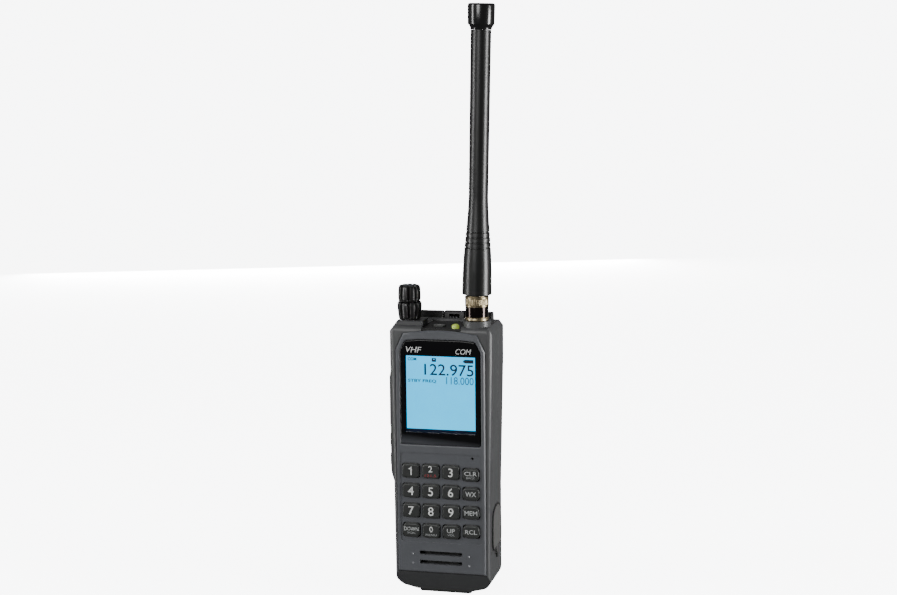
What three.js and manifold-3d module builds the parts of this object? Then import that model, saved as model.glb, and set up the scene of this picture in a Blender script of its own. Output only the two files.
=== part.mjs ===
/**
 * A handheld aviation radio: case, display, keypad, top controls, side keys, headset jacks, battery pack,
 * belt clip and a bayonet antenna, each piece a mesh of its own.
 *
 * Millimetres. X points to the side with the antenna and the jacks, Y to the back and Z up. The origin is on
 * the ground under the middle of the body, so the front face looks along -Y.
 */
import * as THREE from "three";
import { mergeVertices } from "three/addons/utils/BufferGeometryUtils.js";
import Module from "manifold-3d";

const wasm = await Module();
wasm.setup();

// ---- Driving dimensions ---------------------------------------------------------------------------------

const GAP = 0.3; // round a piece that moves, or that is turned
const SEAT = 0.1; // between pieces that rest on one another
const FAR = 200; // past the end of everything, for a cut that runs right through
const ROUND = 24; // sides of a round piece
const SMALL_ROUND = 16; // sides of a small or hidden round piece

const body = {
  half: 30.15, // half width below the waist
  flare: 1.85, // how much wider each side is at the shoulders
  height: 168.4,
  front: -18.2,
  edge: 3, // rounding of the front and back edges
  wall: 2.2,
  face: 2, // wall behind the bezel
  waist: 65, // height where the sides start to flare
  shoulder: 22.4, // how far below the top they stop
  base: 1.8, // height of the case's underside
  footHalf: 17,
  roof: 6.4, // from the top down to the cavity
  chassis: 1.5, // wall between the electronics and the battery bay
};

const bezel = { margin: 2.35, front: -19, thick: 2, bottom: 14.8, chamferX: 4.9, chamferZ: 10.3,
  shoulder: 4.5, crown: 2.1, edge: 0.8, fieldInset: 2.1, fieldDepth: 0.45, fieldAbove: 6.9,
  fieldBelow: 2.9, fieldCorner: 2.5 };

const lens = { half: 25, rim: 2.8, top: 8.1, aboveKeys: 12.1, thick: 1.6, recess: 0.4, chamferX: 3.4,
  chamferZ: 7, edge: 0.3 };

const lcd = { half: 22.2, top: 9.5, bottom: 8.7, thick: 3, behind: 0.3 };

const keypad = { margin: 3.55, space: 1.65, rows: 4, pitch: 12.49, firstRow: 41.5, keyHeight: 8.9,
  corner: 2.2, proud: 1.1, flange: 0.8, lip: 0.6, travel: 0.8, edge: 0.6 };

const functionKeys = { narrower: 0.35, keyHeight: 8.1, closer: 0.61, higher: 0.85 };

const grille = { width: 26.7, slot: 2.4, lower: 21.45, pitch: 5.85, centre: -0.55 };
const micHole = { inset: 8.1, aboveKeys: 4.6, radius: 0.8 };

const board = { half: 24.5, thick: 1.4, bottom: 53, belowTop: 20 };
const membrane = { thick: 1, margin: 1.4 };
const shield = { half: 17, height: 44, depth: 4.5, wall: 0.6, belowTop: 26, aboveBoardEnd: 8 };
const speaker = { radius: 10.9, magnet: 6.5, rim: 2.2, depth: 5.4, magnetDepth: 3.4, basket: 0.2 };
const capsule = { radius: 3, thick: 2.4 };

const trough = { fromControl: 9.5, fromSocket: 8.1, depth: 3.8, length: 29.2, insert: 2.5, insertFront: 1.8 };
const topKey = { room: 1.2, y: -8.5, width: 7.4, length: 5, proud: 1, corner: 1.2, flange: 0.8, lip: 0.8,
  edge: 0.3 };
const lightPipe = { inset: 4.15, y: -13.4, radius: 2.3, top: 1.4, below: 1.2, dome: 1.6 };

const control = { room: 0.75, frontRoom: 1.1, width: 12, depth: 11.4, height: 9.6, floor: 2, bushing: 4.3,
  bushingProud: 1.6, outerShaft: 3, innerShaft: 1.9, step: 2 };
const platform = { inset: 1.8, slope: 2.6, height: 2.6, front: -14.6, fromSplit: 0.4 };
const squelch = { lift: 0.5, height: 10.6, bottomRadius: 6.95, radius: 7.7, shoulder: 8, crown: 7, flutes: 9,
  fluteDepth: 0.9, cap: 1.2 };
const volume = { collar: 1.6, collarRadius: 6.5, height: 8.2, radius: 7.1, flutes: 9, fluteDepth: 0.9, cap: 2,
  edge: 0.5 };

const bnc = { room: 1.35, frontRoom: 0.4, bossRim: 1.25, bossHeight: 3.4, barrel: 4.8, wall: 0.85,
  barrelLength: 9, floor: 0.5, flangeRim: 0.8, flangeThick: 3, lug: 0.9, lugHeight: 0.7, lugDrop: 4,
  contact: 1.5, contactBore: 0.95, contactDrop: 2.2, contactDepth: 1 };
const nut = { wall: 1.35, room: 0.4, length: 14.3, lipRoom: 0.75, lipThick: 1.8, grip: 5.9, groove: 0.35,
  grooveWidth: 0.5, ring: 1.8, edge: 0.4 };
const plug = { room: 0.4, wall: 0.65, pin: 0.65, flangeRim: 1.2, depth: 7.6, pinShort: 2, proud: 0.5 };
const antenna = { above: 1.3, flare: 8.95, flareEdge: 0.8, flareLength: 14.5, flareTop: 8.75, neck: 5.9,
  neckStart: 58, length: 157.4, tip: 6.1, ring: 0.45, ringHalf: 0.8, rings: 4, ringPitch: 3.1,
  firstRing: 28.6,  ease: 1.6, lean: 1.35, core: 1.2, coreShort: 4, spigot: 3, spigotLength: 6 };
const cap = { bottom: 7.9, top: 8.15, neck: 6.3, length: 15.4, chamfer: 2.8, edge: 0.6 };

const sidePanel = { reach: 2.85, bottom: 66, slope: 10, top: 26.4, front: -13.5, back: -0.6 };
const ptt = { top: 31.4, length: 33, front: -12, width: 9, proud: 0.75, flange: 0.9, lip: 0.8, corner: 2,
  edge: 0.6 };
const sideKeys = { length: 9, drop: 3.4 };

const jacks = { room: 0.5, headphoneBore: 3.2, headphoneBarrel: 5.1, microphoneBore: 2.65,
  microphoneBarrel: 4.6, length: 24, lower: 35.2, pitch: 11.4, end: 1.5 };
const cover = { middle: 0.6, front: -11.2, bottom: 28.6, top: 55.5, cornerDrop: 2.9, tab: 6.6, tabHalf: 2.6,
  recess: 1.25, proud: 0.6, gap: 0.8, edge: 0.3 };

const cell = { radius: 7.1, length: 49.3, button: 2.7, buttonLength: 1, between: 0.3, columns: 3, rows: 2 };
const pack = { inset: 3.65, side: 1.4, bottom: 9, end: 1.8, rib: 2.4, back: 1.3, front: 0.5, clearance: 0.3 };
const latch = { half: 8, height: 7, thick: 1.5, pocket: 0.8, travel: 3, above: 3.5, ridge: 0.6,
  ridgeHalf: 0.4, margin: 1 };

const clip = { earHalf: 24.4, earInner: 7, earTop: 3.5, earHeight: 9.4, earDepth: 6, plate: 1.8,
  plateInset: 6, plateHeight: 38, pin: 1.4, pinDrop: 1.2, pinOut: 3.2, pinInset: 1, lever: 6.5, blade: 16,
  gap: 5.3, thick: 2.2, tip: 2.4, hub: 3, coil: 2.6, coilHalf: 3, wire: 0.4, turns: 3, edge: 0.4, knee: 6,
  leafOverlap: 0.6, aboveBattery: 2 };

const pad = { depth: 24, inset: 6.9, step: 0.6, narrower: 0.5, corner: 2.5, edge: 0.4 };

// ---- Sizes that follow from them ------------------------------------------------------------------------

const shoulderHalf = body.half + body.flare;
const cavityHalf = body.half - body.wall;
const cavityTop = body.height - body.roof;
const bezelHalf = body.half - bezel.margin;
const bezelBack = bezel.front + bezel.thick;
const faceFront = bezelBack + GAP - SEAT; // the case wall behind the bezel
const faceBack = faceFront + body.face;
const keyRowTop = keypad.firstRow + (keypad.rows - 1) * keypad.pitch + keypad.keyHeight / 2;
const keyWidth = (2 * (bezelHalf - keypad.margin) - 3 * keypad.space) / keypad.rows;
const keyPitch = keyWidth + keypad.space;
const lensTop = body.height - lens.top;
const lensBottom = keyRowTop + lens.aboveKeys;
const lensHalf = Math.min(lens.half, bezelHalf - lens.rim);
const lcdHalf = Math.min(lcd.half, lensHalf - lens.rim);
const lcdTop = lensTop - lcd.top;
const lcdBottom = lensBottom + lcd.bottom;
const keyBack = faceBack + GAP - SEAT + keypad.flange;
const membraneFront = keyBack + keypad.travel + SEAT;
const boardFront = membraneFront + membrane.thick + GAP;
const boardBack = boardFront + board.thick;
const boardHalf = Math.min(board.half, cavityHalf - 3);
const platformTop = body.height + platform.height;
const bossTop = body.height + bnc.bossHeight;
const rearFront = boardBack + 2 * (jacks.headphoneBarrel + jacks.room);
const split = rearFront - SEAT; // the front case's back edge
const bayFront = rearFront + body.chassis;
const packFront = bayFront + pack.clearance;
const bodyBack = packFront + pack.front + 2 * (cell.radius + SEAT) + pack.back;
const packHeight = cell.rows * (cell.length + cell.buttonLength + 2 * SEAT) + pack.rib + 2 * pack.end;
const packTop = pack.bottom + packHeight;
const cellPitch = 2 * cell.radius + cell.between;
const chamberHalf = (cell.columns * cellPitch) / 2 + GAP;
const packHalf = Math.max(body.half - pack.inset, chamberHalf + pack.side);
const jackY = (boardBack + rearFront) / 2;
const micX = bezelHalf - micHole.inset;
const micZ = keyRowTop + micHole.aboveKeys;

const controlX = -(cavityHalf - control.room - control.width / 2);
const controlY = faceBack + control.frontRoom + control.depth / 2;
const socketFlange = bnc.barrel + bnc.flangeRim;
const socketX = cavityHalf - bnc.room - socketFlange;
const socketY = faceBack + bnc.frontRoom + socketFlange;
const lugReach = bnc.barrel + bnc.lugHeight;
const socketBore = bnc.barrel - bnc.wall;
const nutBore = lugReach + nut.room;
const nutRadius = nutBore + nut.wall;
const boss = nutRadius + bnc.bossRim;
const plugStem = socketBore - plug.room;
const plugFlange = bnc.barrel + plug.flangeRim;
const troughLeft = controlX + trough.fromControl;
const troughRight = socketX - trough.fromSocket;
const troughBack = body.front + trough.length;
const lightX = troughRight - lightPipe.inset;
const topKeySpace = lightX - lightPipe.radius - troughLeft;
const topKeyX = troughLeft + topKeySpace / 2;
const topKeyWidth = Math.min(topKey.width, topKeySpace - 2 * topKey.room);

// ---- Finishes -------------------------------------------------------------------------------------------

const finish = (color, roughness, metalness = 0) => ({ color, roughness, metalness });
const CASE = finish(0x4c4d4e, 0.62);
const PANEL = finish(0x585a5e, 0.55);
const BLACK = finish(0x141414, 0.5);
const RUBBER = finish(0x1d1d1d, 0.8);
const FLAP = finish(0x5c5c5a, 0.8);
const KEY = finish(0x2d2f2e, 0.6);
const LENS = finish(0x060606, 0.08);
const SCREEN = finish(0x84c6e4, 0.3);
const BOARD = finish(0x1f5a35, 0.5);
const SILVER = finish(0xb4b1a6, 0.3, 1);
const BRASS = finish(0xa98b52, 0.3, 1);
const STEEL = finish(0x9a9c9e, 0.35, 1);
const LIGHT = finish(0xbecd82, 0.3);
const CELL = finish(0x8b6b2c, 0.4, 0.5);

// ---- Solids and outlines --------------------------------------------------------------------------------

const root = new THREE.Group();

/** The closed solid inside a geometry whose shared vertices are merged. */
function solid(geometry) {
  const bare = geometry.index ? geometry.toNonIndexed() : geometry.clone();
  bare.deleteAttribute("normal");
  bare.deleteAttribute("uv");
  const merged = mergeVertices(bare, 1e-5);
  const all = merged.index.array;
  const kept = [];
  for (let i = 0; i < all.length; i += 3) {
    const [a, b, c] = [all[i], all[i + 1], all[i + 2]];
    if (a !== b && b !== c && c !== a) kept.push(a, b, c);
  }
  const mesh = new wasm.Mesh({
    numProp: 3,
    vertProperties: new Float32Array(merged.attributes.position.array),
    triVerts: new Uint32Array(kept),
  });
  return new wasm.Manifold(mesh);
}

/** The geometry of a solid's surface. */
function surface(shape) {
  const mesh = shape.getMesh();
  const geometry = new THREE.BufferGeometry();
  geometry.setAttribute("position", new THREE.BufferAttribute(mesh.vertProperties.slice(), 3));
  geometry.setIndex(new THREE.BufferAttribute(mesh.triVerts.slice(), 1));
  geometry.computeVertexNormals();
  return geometry;
}

/** Adds a named piece to a group, at a place in that group. */
function piece(name, shape, look, place = [0, 0, 0], group = root) {
  const mesh = new THREE.Mesh(surface(shape), new THREE.MeshStandardMaterial(look));
  mesh.name = name;
  mesh.position.set(...place);
  group.add(mesh);
  return mesh;
}

/** A closed outline through corners [a, b, radius], where a radius rounds that corner. */
function outline(corners) {
  const shape = new THREE.Shape();
  corners.forEach(([a, b, radius = 0], i) => {
    const corner = new THREE.Vector2(a, b);
    const before = new THREE.Vector2(...corners.at(i - 1)).sub(corner);
    const after = new THREE.Vector2(...corners[(i + 1) % corners.length]).sub(corner);
    const start = corner.clone().add(before.setLength(radius));
    const end = corner.clone().add(after.setLength(radius));
    if (i === 0) shape.moveTo(start.x, start.y);
    else shape.lineTo(start.x, start.y);
    if (radius > 0) shape.quadraticCurveTo(corner.x, corner.y, end.x, end.y);
  });
  shape.closePath();
  return shape;
}

/** Both sides of a symmetrical outline, from its right half, given upwards. */
function mirrored(half) {
  const left = half.map(([a, b, radius]) => [-a, b, radius]).reverse();
  return outline([...half, ...left]);
}

/** A rectangle about (a, b) with rounded corners. */
function rectangle(width, height, radius = 0, a = 0, b = 0) {
  const [w, h] = [width / 2, height / 2];
  const [left, right, low, high] = [a - w, a + w, b - h, b + h];
  return outline([[left, low, radius], [right, low, radius], [right, high, radius], [left, high, radius]]);
}

/** A circle about (a, b). */
function circle(radius, a = 0, b = 0) {
  return new THREE.Shape().absarc(a, b, radius, 0, 2 * Math.PI);
}

/** A round outline of the given radius with hollows cut along it. */
function fluted(radius, count, depth) {
  const points = [];
  for (let i = 0; i < count; i++) {
    for (const [turn, reach] of [[-0.3, radius], [0.3, radius], [0.5, radius - depth]]) {
      const angle = ((i + turn) / count) * 2 * Math.PI;
      points.push([reach * Math.cos(angle), reach * Math.sin(angle)]);
    }
  }
  return outline(points);
}

/** An outline drawn out to a length, its end edges cut back by edge. */
function drawn(shape, length, edge, sides, edgeSides = 1) {
  return new THREE.ExtrudeGeometry(shape, {
    depth: length - 2 * edge,
    bevelEnabled: edge > 0,
    bevelThickness: edge,
    bevelSize: edge,
    bevelOffset: -edge,
    bevelSegments: edgeSides,
    curveSegments: sides,
  }).translate(0, 0, edge);
}

/** An outline in X and Y, drawn from z = low to z = high. */
function alongZ(shape, low, high, { edge = 0, sides = 4 } = {}) {
  return solid(drawn(shape, high - low, edge, sides).translate(0, 0, low));
}

/** An outline in X and Z, drawn from y = front to y = back. */
function alongY(shape, front, back, { edge = 0, sides = 4, edgeSides = 1 } = {}) {
  return solid(drawn(shape, back - front, edge, sides, edgeSides).rotateX(Math.PI / 2).translate(0, back, 0));
}

/** An outline in Y and Z, drawn from x = left to x = right. */
function alongX(shape, left, right, { edge = 0, sides = 4 } = {}) {
  const turn = new THREE.Matrix4().set(0, 0, 1, 0, 1, 0, 0, 0, 0, 1, 0, 0, 0, 0, 0, 1);
  return solid(drawn(shape, right - left, edge, sides).applyMatrix4(turn).translate(left, 0, 0));
}

/** A block between two corners. */
function block([x0, y0, z0], [x1, y1, z1]) {
  const box = new THREE.BoxGeometry(x1 - x0, y1 - y0, z1 - z0);
  return solid(box.translate((x0 + x1) / 2, (y0 + y1) / 2, (z0 + z1) / 2));
}

/** A profile of [radius, height] turned about Z. */
function turned(profile, sides = ROUND) {
  const points = profile.map(([radius, height]) => new THREE.Vector2(radius, height));
  return solid(new THREE.LatheGeometry(points, sides).rotateX(Math.PI / 2));
}

/** A round bar or hole along Z at (x, y). */
function rod(radius, low, high, sides = ROUND, x = 0, y = 0) {
  return turned([[0, low], [radius, low], [radius, high], [0, high]], sides).translate([x, y, 0]);
}

/** A profile of [radius, distance] turned about a line along X at (y, z). */
function turnedAlongX(profile, y, z, sides = ROUND) {
  return turned(profile, sides).rotate([0, 90, 0]).translate([0, y, z]);
}

/** A round bar or hole along X at (y, z). */
function rodAlongX(radius, left, right, y, z, sides = ROUND) {
  return turnedAlongX([[0, left], [radius, left], [radius, right], [0, right]], y, z, sides);
}

// ---- The case -------------------------------------------------------------------------------------------

/** The whole outer body before it is split and hollowed. */
function bodySolid() {
  const profile = mirrored([
    [body.footHalf, body.base],
    [body.half - 4, body.base + 2.6, 2],
    [body.half, body.base + 7, 3],
    [body.half, body.waist],
    [shoulderHalf, body.height - body.shoulder],
    [shoulderHalf, body.height - 3.4],
    [shoulderHalf - 2.6, body.height],
  ]);
  const shell = alongY(profile, body.front, bodyBack, { edge: body.edge, edgeSides: 3, sides: 3 });
  const chin = outline([
    [body.front - 0.1, bezel.bottom - 0.2],
    [body.front + pad.inset, body.base - 0.1],
    [body.front + pad.inset, -FAR],
    [-FAR, -FAR],
    [-FAR, bezel.bottom - 0.2],
  ]);
  return shell.subtract(alongX(chin, -FAR, FAR));
}

/** The outline of the front bezel, grown by a clearance. */
function bezelOutline(grow = 0) {
  const half = bezelHalf + grow;
  const top = body.height - bezel.crown + grow;
  const shoulder = body.height - bezel.shoulder + grow;
  const shape = new THREE.Shape();
  shape.moveTo(-half, bezel.bottom - grow);
  shape.lineTo(half, bezel.bottom - grow);
  shape.lineTo(half, shoulder - bezel.chamferZ);
  shape.lineTo(half - bezel.chamferX, shoulder);
  shape.quadraticCurveTo(0, 2 * top - shoulder, bezel.chamferX - half, shoulder);
  shape.lineTo(-half, shoulder - bezel.chamferZ);
  shape.closePath();
  return shape;
}

/** The outline of the display lens, grown by a clearance. */
function lensOutline(grow = 0) {
  return mirrored([
    [lensHalf + grow, lensBottom - grow, 1],
    [lensHalf + grow, lensTop + grow - lens.chamferZ],
    [lensHalf + grow - lens.chamferX, lensTop + grow - 0.8, 1],
    [lensHalf - 12, lensTop + grow],
  ]);
}

/** The lit window of the display, grown by a clearance. */
function lcdOutline(grow = 0) {
  const height = lcdTop - lcdBottom + 2 * grow;
  return rectangle(2 * (lcdHalf + grow), height, 0, 0, (lcdTop + lcdBottom) / 2);
}

const keyNames = [
  ["key_down", "key_0", "key_up", "key_recall"],
  ["key_7", "key_8", "key_9", "key_memory"],
  ["key_4", "key_5", "key_6", "key_weather"],
  ["key_1", "key_2", "key_3", "key_clear"],
];

/** Every front key: its name, its centre and its size. */
const keys = keyNames.flatMap((names, row) => names.map((name, column) => {
  const last = column === names.length - 1;
  const z = last
    ? keypad.firstRow + functionKeys.higher + row * (keypad.pitch - functionKeys.closer)
    : keypad.firstRow + row * keypad.pitch;
  return {
    name,
    x: (column - (names.length - 1) / 2) * keyPitch,
    z,
    width: keyWidth - (last ? functionKeys.narrower : 0),
    height: last ? functionKeys.keyHeight : keypad.keyHeight,
  };
}));

/** The holes that the keys, the speaker and the microphone need in the bezel and the case behind it. */
function faceHoles() {
  const cuts = keys.map(({ x, z, width, height }) => {
    const hole = rectangle(width + 2 * GAP, height + 2 * GAP, keypad.corner, x, z);
    return alongY(hole, -FAR, faceBack + 1, { sides: 3 });
  });
  for (let i = 0; i < 2; i++) {
    const slot = rectangle(grille.width, grille.slot, 0.6, grille.centre, grille.lower + i * grille.pitch);
    cuts.push(alongY(slot, -FAR, faceBack + 1, { sides: 2 }));
  }
  const hole = circle(micHole.radius, micX, micZ);
  cuts.push(alongY(hole, -FAR, faceBack + 1));
  return wasm.Manifold.union(cuts);
}

/** The holes in the roof of the case for the controls, the antenna socket, the light and the top key. */
function roofHoles() {
  const pipeBottom = cavityTop - lightPipe.below - 1;
  return wasm.Manifold.union([
    rod(control.bushing + GAP, cavityTop - 1, platformTop + 1, SMALL_ROUND, controlX, controlY),
    rod(bnc.barrel + GAP, cavityTop - 1, bossTop + 1, SMALL_ROUND, socketX, socketY),
    rod(lightPipe.radius + GAP, pipeBottom, body.height + 1, SMALL_ROUND, lightX, lightPipe.y),
    alongZ(rectangle(topKeyWidth + 2 * GAP, topKey.length + 2 * GAP, topKey.corner, topKeyX, topKey.y),
      cavityTop - 1, body.height + 1),
  ]);
}

const sideTop = body.height - sidePanel.top;
const sideOuter = -(body.half + sidePanel.reach);
const pttTop = body.height - ptt.top;
const pttMiddle = pttTop - ptt.length / 2;
const sideKeyY = ptt.front + ptt.width / 2;
const upperKeyZ = pttTop - ptt.length - sideKeys.drop - sideKeys.length / 2;
const lowerKeyZ = upperKeyZ - sideKeys.length - sideKeys.drop;

/** A rounded outline for a key in the side panel, about the middle height z. */
function sideKeyOutline(length, z, grow = 0) {
  return rectangle(ptt.width + 2 * grow, length + 2 * grow, ptt.corner, sideKeyY, z);
}

/** The raised panel on the side that carries the transmit key. */
function sidePanelSolid() {
  const shape = outline([
    [-cavityHalf - 0.4, sidePanel.bottom],
    [-cavityHalf - 0.4, sideTop],
    [-shoulderHalf + 0.6, sideTop],
    [sideOuter, sideTop - 4, 2],
    [sideOuter, sidePanel.bottom + sidePanel.slope, 3],
    [-body.half + 0.4, sidePanel.bottom],
  ]);
  return alongY(shape, sidePanel.front, sidePanel.back, { edge: 0.5, sides: 3 });
}

const coverBack = 2 * cover.middle - cover.front;

/** The outline of the jack cover in Y and Z, grown by a clearance. */
function coverOutline(grow = 0) {
  const [front, back] = [cover.front - grow, coverBack + grow];
  const [low, high] = [cover.bottom - grow, cover.top + grow];
  return outline([
    [cover.middle - cover.tabHalf - grow, low],
    [cover.middle - 0.8, low - cover.tab, 0.7],
    [cover.middle + 0.8, low - cover.tab, 0.7],
    [cover.middle + cover.tabHalf + grow, low],
    [back - 2.2, low, 0.8],
    [back, low + 4, 1.5],
    [back - 0.8, high - 7, 1.5],
    [back - 2.8, high - cover.cornerDrop, 1],
    [cover.middle, high, 1],
    [front + 2.8, high - cover.cornerDrop, 1],
    [front + 0.8, high - 7, 1.5],
    [front, low + 4, 1.5],
    [front + 2.2, low, 0.8],
  ]);
}

const coverFloor = body.half - cover.recess;

/** The recess for the jack cover and the two holes in its floor. */
function jackCuts() {
  const inside = cavityHalf - 1;
  return wasm.Manifold.union([
    alongX(coverOutline(cover.gap), coverFloor, FAR, { sides: 2 }),
    rodAlongX(jacks.microphoneBarrel + GAP, inside, FAR, jackY, jacks.lower, SMALL_ROUND),
    rodAlongX(jacks.headphoneBarrel + GAP, inside, FAR, jackY, jacks.lower + jacks.pitch, SMALL_ROUND),
  ]);
}

/** The trough across the top of the case, which opens to the front. */
function troughCut() {
  return block([troughLeft, -FAR, body.height - trough.depth], [troughRight, troughBack, FAR]);
}

function frontCase() {
  const shell = bodySolid().subtract(block([-FAR, split, -FAR], [FAR, FAR, FAR]));
  const platformLeft = platform.inset - shoulderHalf;
  const ramp = outline([
    [platformLeft, body.height - 1],
    [troughLeft, body.height - 1],
    [troughLeft, platformTop],
    [platformLeft + platform.slope, platformTop],
  ]);
  const raised = wasm.Manifold.union([
    shell,
    sidePanelSolid(),
    alongY(ramp, platform.front, split - platform.fromSplit, { edge: 0.5 }),
    rod(boss, body.height - 1, bossTop, ROUND, socketX, socketY),
  ]);
  const cavity = alongX(outline([
    [faceBack, bezel.bottom - 1.9],
    [body.front + pad.inset + pad.step, body.base + 4],
    [FAR, body.base + 4],
    [FAR, cavityTop],
    [faceBack, cavityTop],
  ]), -cavityHalf, cavityHalf);
  const buttons = [
    alongX(sideKeyOutline(ptt.length, pttMiddle, GAP), -FAR, -cavityHalf + 1, { sides: 2 }),
    alongX(sideKeyOutline(sideKeys.length, upperKeyZ, GAP), -FAR, -cavityHalf + 1, { sides: 2 }),
    alongX(sideKeyOutline(sideKeys.length, lowerKeyZ, GAP), -FAR, -cavityHalf + 1, { sides: 2 }),
  ];
  const cuts = wasm.Manifold.union([
    cavity,
    alongY(bezelOutline(GAP), -FAR, faceFront, { sides: 6 }),
    alongY(lcdOutline(GAP), -FAR, faceBack + 1),
    faceHoles(),
    troughCut(),
    roofHoles(),
    jackCuts(),
    ...buttons,
  ]);
  piece("front_case", raised.subtract(cuts), CASE);
}

function rearCase() {
  const shell = bodySolid().subtract(block([-FAR, -FAR, -FAR], [FAR, rearFront, FAR]));
  const bay = block(
    [-packHalf - pack.clearance, bayFront, pack.bottom - pack.clearance],
    [packHalf + pack.clearance, FAR, packTop + pack.clearance],
  );
  const loft = block([-cavityHalf, -FAR, packTop + 4], [cavityHalf, bodyBack - body.wall - 1, cavityTop]);
  const cuts = wasm.Manifold.union([bay, loft, troughCut(), jackCuts()]);
  piece("rear_case", shell.subtract(cuts), CASE);
}

function frontBezel() {
  const plate = alongY(bezelOutline(), bezel.front, bezelBack, { edge: bezel.edge, sides: 6 });
  const window = alongY(lensOutline(GAP - SEAT), -FAR, FAR, { sides: 3 });
  const fieldTop = keyRowTop + bezel.fieldAbove;
  const fieldBottom = keypad.firstRow - keypad.keyHeight / 2 - bezel.fieldBelow;
  const field = rectangle(2 * (bezelHalf - bezel.fieldInset), fieldTop - fieldBottom, bezel.fieldCorner, 0,
    (fieldTop + fieldBottom) / 2);
  const hollow = alongY(field, -FAR, bezel.front + bezel.fieldDepth);
  piece("front_bezel", plate.subtract(wasm.Manifold.union([window, hollow, faceHoles()])), PANEL);
}

function topInsert() {
  const floor = body.height - trough.depth + SEAT;
  const plate = block(
    [troughLeft + GAP, body.front + trough.insertFront, floor],
    [troughRight - GAP, troughBack - GAP, floor + trough.insert],
  );
  const socket = rod(boss + GAP, 0, FAR, ROUND, socketX, socketY);
  piece("top_insert", plate.subtract(roofHoles()).subtract(socket), BLACK);
}

function basePad() {
  const middle = body.front + pad.inset + pad.step + pad.depth / 2;
  const shape = rectangle(2 * (body.footHalf - pad.narrower), pad.depth, pad.corner, 0, middle);
  piece("base_pad", alongZ(shape, 0, body.base - SEAT, { edge: pad.edge }), RUBBER);
}

// ---- Display, electronics and sound ---------------------------------------------------------------------

function display() {
  const front = bezel.front + lens.recess;
  const back = front + lens.thick;
  piece("display_lens", alongY(lensOutline(), front, back, { edge: lens.edge, sides: 3 }), LENS);
  const panelFront = back + lcd.behind;
  piece("lcd_panel", alongY(lcdOutline(), panelFront, panelFront + lcd.thick), SCREEN);
}

function electronics() {
  const boardTop = body.height - board.belowTop;
  const shape = rectangle(2 * boardHalf, boardTop - board.bottom, 1.5, 0, (boardTop + board.bottom) / 2);
  piece("main_board", alongY(shape, boardFront, boardBack, { sides: 2 }), BOARD);

  const shieldTop = body.height - shield.belowTop;
  const shieldHeight = Math.min(shield.height, shieldTop - board.bottom - shield.aboveBoardEnd);
  const canFront = boardBack + SEAT;
  const canBack = canFront + shield.depth;
  const can = block([-shield.half, canFront, shieldTop - shieldHeight], [shield.half, canBack, shieldTop]);
  const inside = block(
    [shield.wall - shield.half, canFront - 1, shieldTop - shieldHeight + shield.wall],
    [shield.half - shield.wall, canBack - shield.wall, shieldTop - shield.wall],
  );
  piece("rf_shield", can.subtract(inside), STEEL);

  const low = keypad.firstRow - keypad.keyHeight / 2 - membrane.margin;
  const high = keyRowTop + membrane.margin;
  const width = 2 * (bezelHalf - keypad.margin + membrane.margin);
  const sheet = rectangle(width, high - low, 2, 0, (low + high) / 2);
  const membraneBack = membraneFront + membrane.thick;
  piece("keypad_membrane", alongY(sheet, membraneFront, membraneBack, { sides: 2 }), RUBBER);
}

function sound() {
  const front = faceBack + GAP;
  const rimBack = speaker.magnetDepth + speaker.basket;
  const cone = turned([[0, 0], [speaker.magnet, 0], [speaker.magnet, speaker.magnetDepth],
    [speaker.radius, rimBack], [speaker.radius, speaker.depth], [speaker.radius - speaker.rim, speaker.depth],
    [0, rimBack]]);
  piece("speaker", cone.rotate([90, 0, 0]), STEEL, [grille.centre, front + speaker.depth,
    grille.lower + grille.pitch / 2]);
  const button = rod(capsule.radius, -capsule.thick, 0, SMALL_ROUND).rotate([90, 0, 0]);
  piece("microphone", button, STEEL, [micX, front, micZ]);
}

// ---- Keys -----------------------------------------------------------------------------------------------

function frontKeys() {
  const front = bezel.front - keypad.proud;
  const flangeFront = faceBack + GAP - SEAT;
  for (const { name, x, z, width, height } of keys) {
    const cap = rectangle(width, height, keypad.corner);
    const button = alongY(cap, front, keyBack, { edge: keypad.edge, sides: 3 });
    const brim = rectangle(width + 2 * keypad.lip, height + 2 * keypad.lip, keypad.corner);
    const flange = alongY(brim, flangeFront, keyBack, { sides: 2 });
    piece(name, button.add(flange), KEY, [x, 0, z]);
  }
}

/** A key in the side panel: a cap outside, and a brim inside that keeps it in. */
function sideKey(name, length, z) {
  const inner = -cavityHalf + GAP;
  const outer = sideOuter - ptt.proud;
  const cap = alongX(sideKeyOutline(length, z), outer, inner + ptt.flange, { edge: ptt.edge, sides: 3 });
  const brim = alongX(sideKeyOutline(length, z, ptt.lip), inner, inner + ptt.flange, { sides: 2 });
  piece(name, cap.add(brim), RUBBER);
}

function topKeyAndLight() {
  const brimTop = cavityTop - GAP;
  const floorTop = body.height - trough.depth + SEAT + trough.insert;
  const cap = alongZ(rectangle(topKeyWidth, topKey.length, topKey.corner), brimTop - topKey.flange,
    floorTop + topKey.proud, { edge: topKey.edge });
  const brimShape = rectangle(topKeyWidth + 2 * topKey.lip, topKey.length + 2 * topKey.lip, topKey.corner);
  const brim = alongZ(brimShape, brimTop - topKey.flange, brimTop);
  piece("top_key", cap.add(brim), KEY, [topKeyX, topKey.y, 0]);

  const r = lightPipe.radius;
  const top = body.height + lightPipe.top;
  const bottom = cavityTop - lightPipe.below;
  const rise = lightPipe.dome;
  const dome = [[r, top - rise], [r * 0.86, top - rise / 2], [r * 0.5, top - rise / 8]];
  const profile = [[0, bottom], [r, bottom], ...dome, [0, top]];
  piece("light_pipe", turned(profile, SMALL_ROUND), LIGHT, [lightX, lightPipe.y, 0]);
}

// ---- Top controls ---------------------------------------------------------------------------------------

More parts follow.
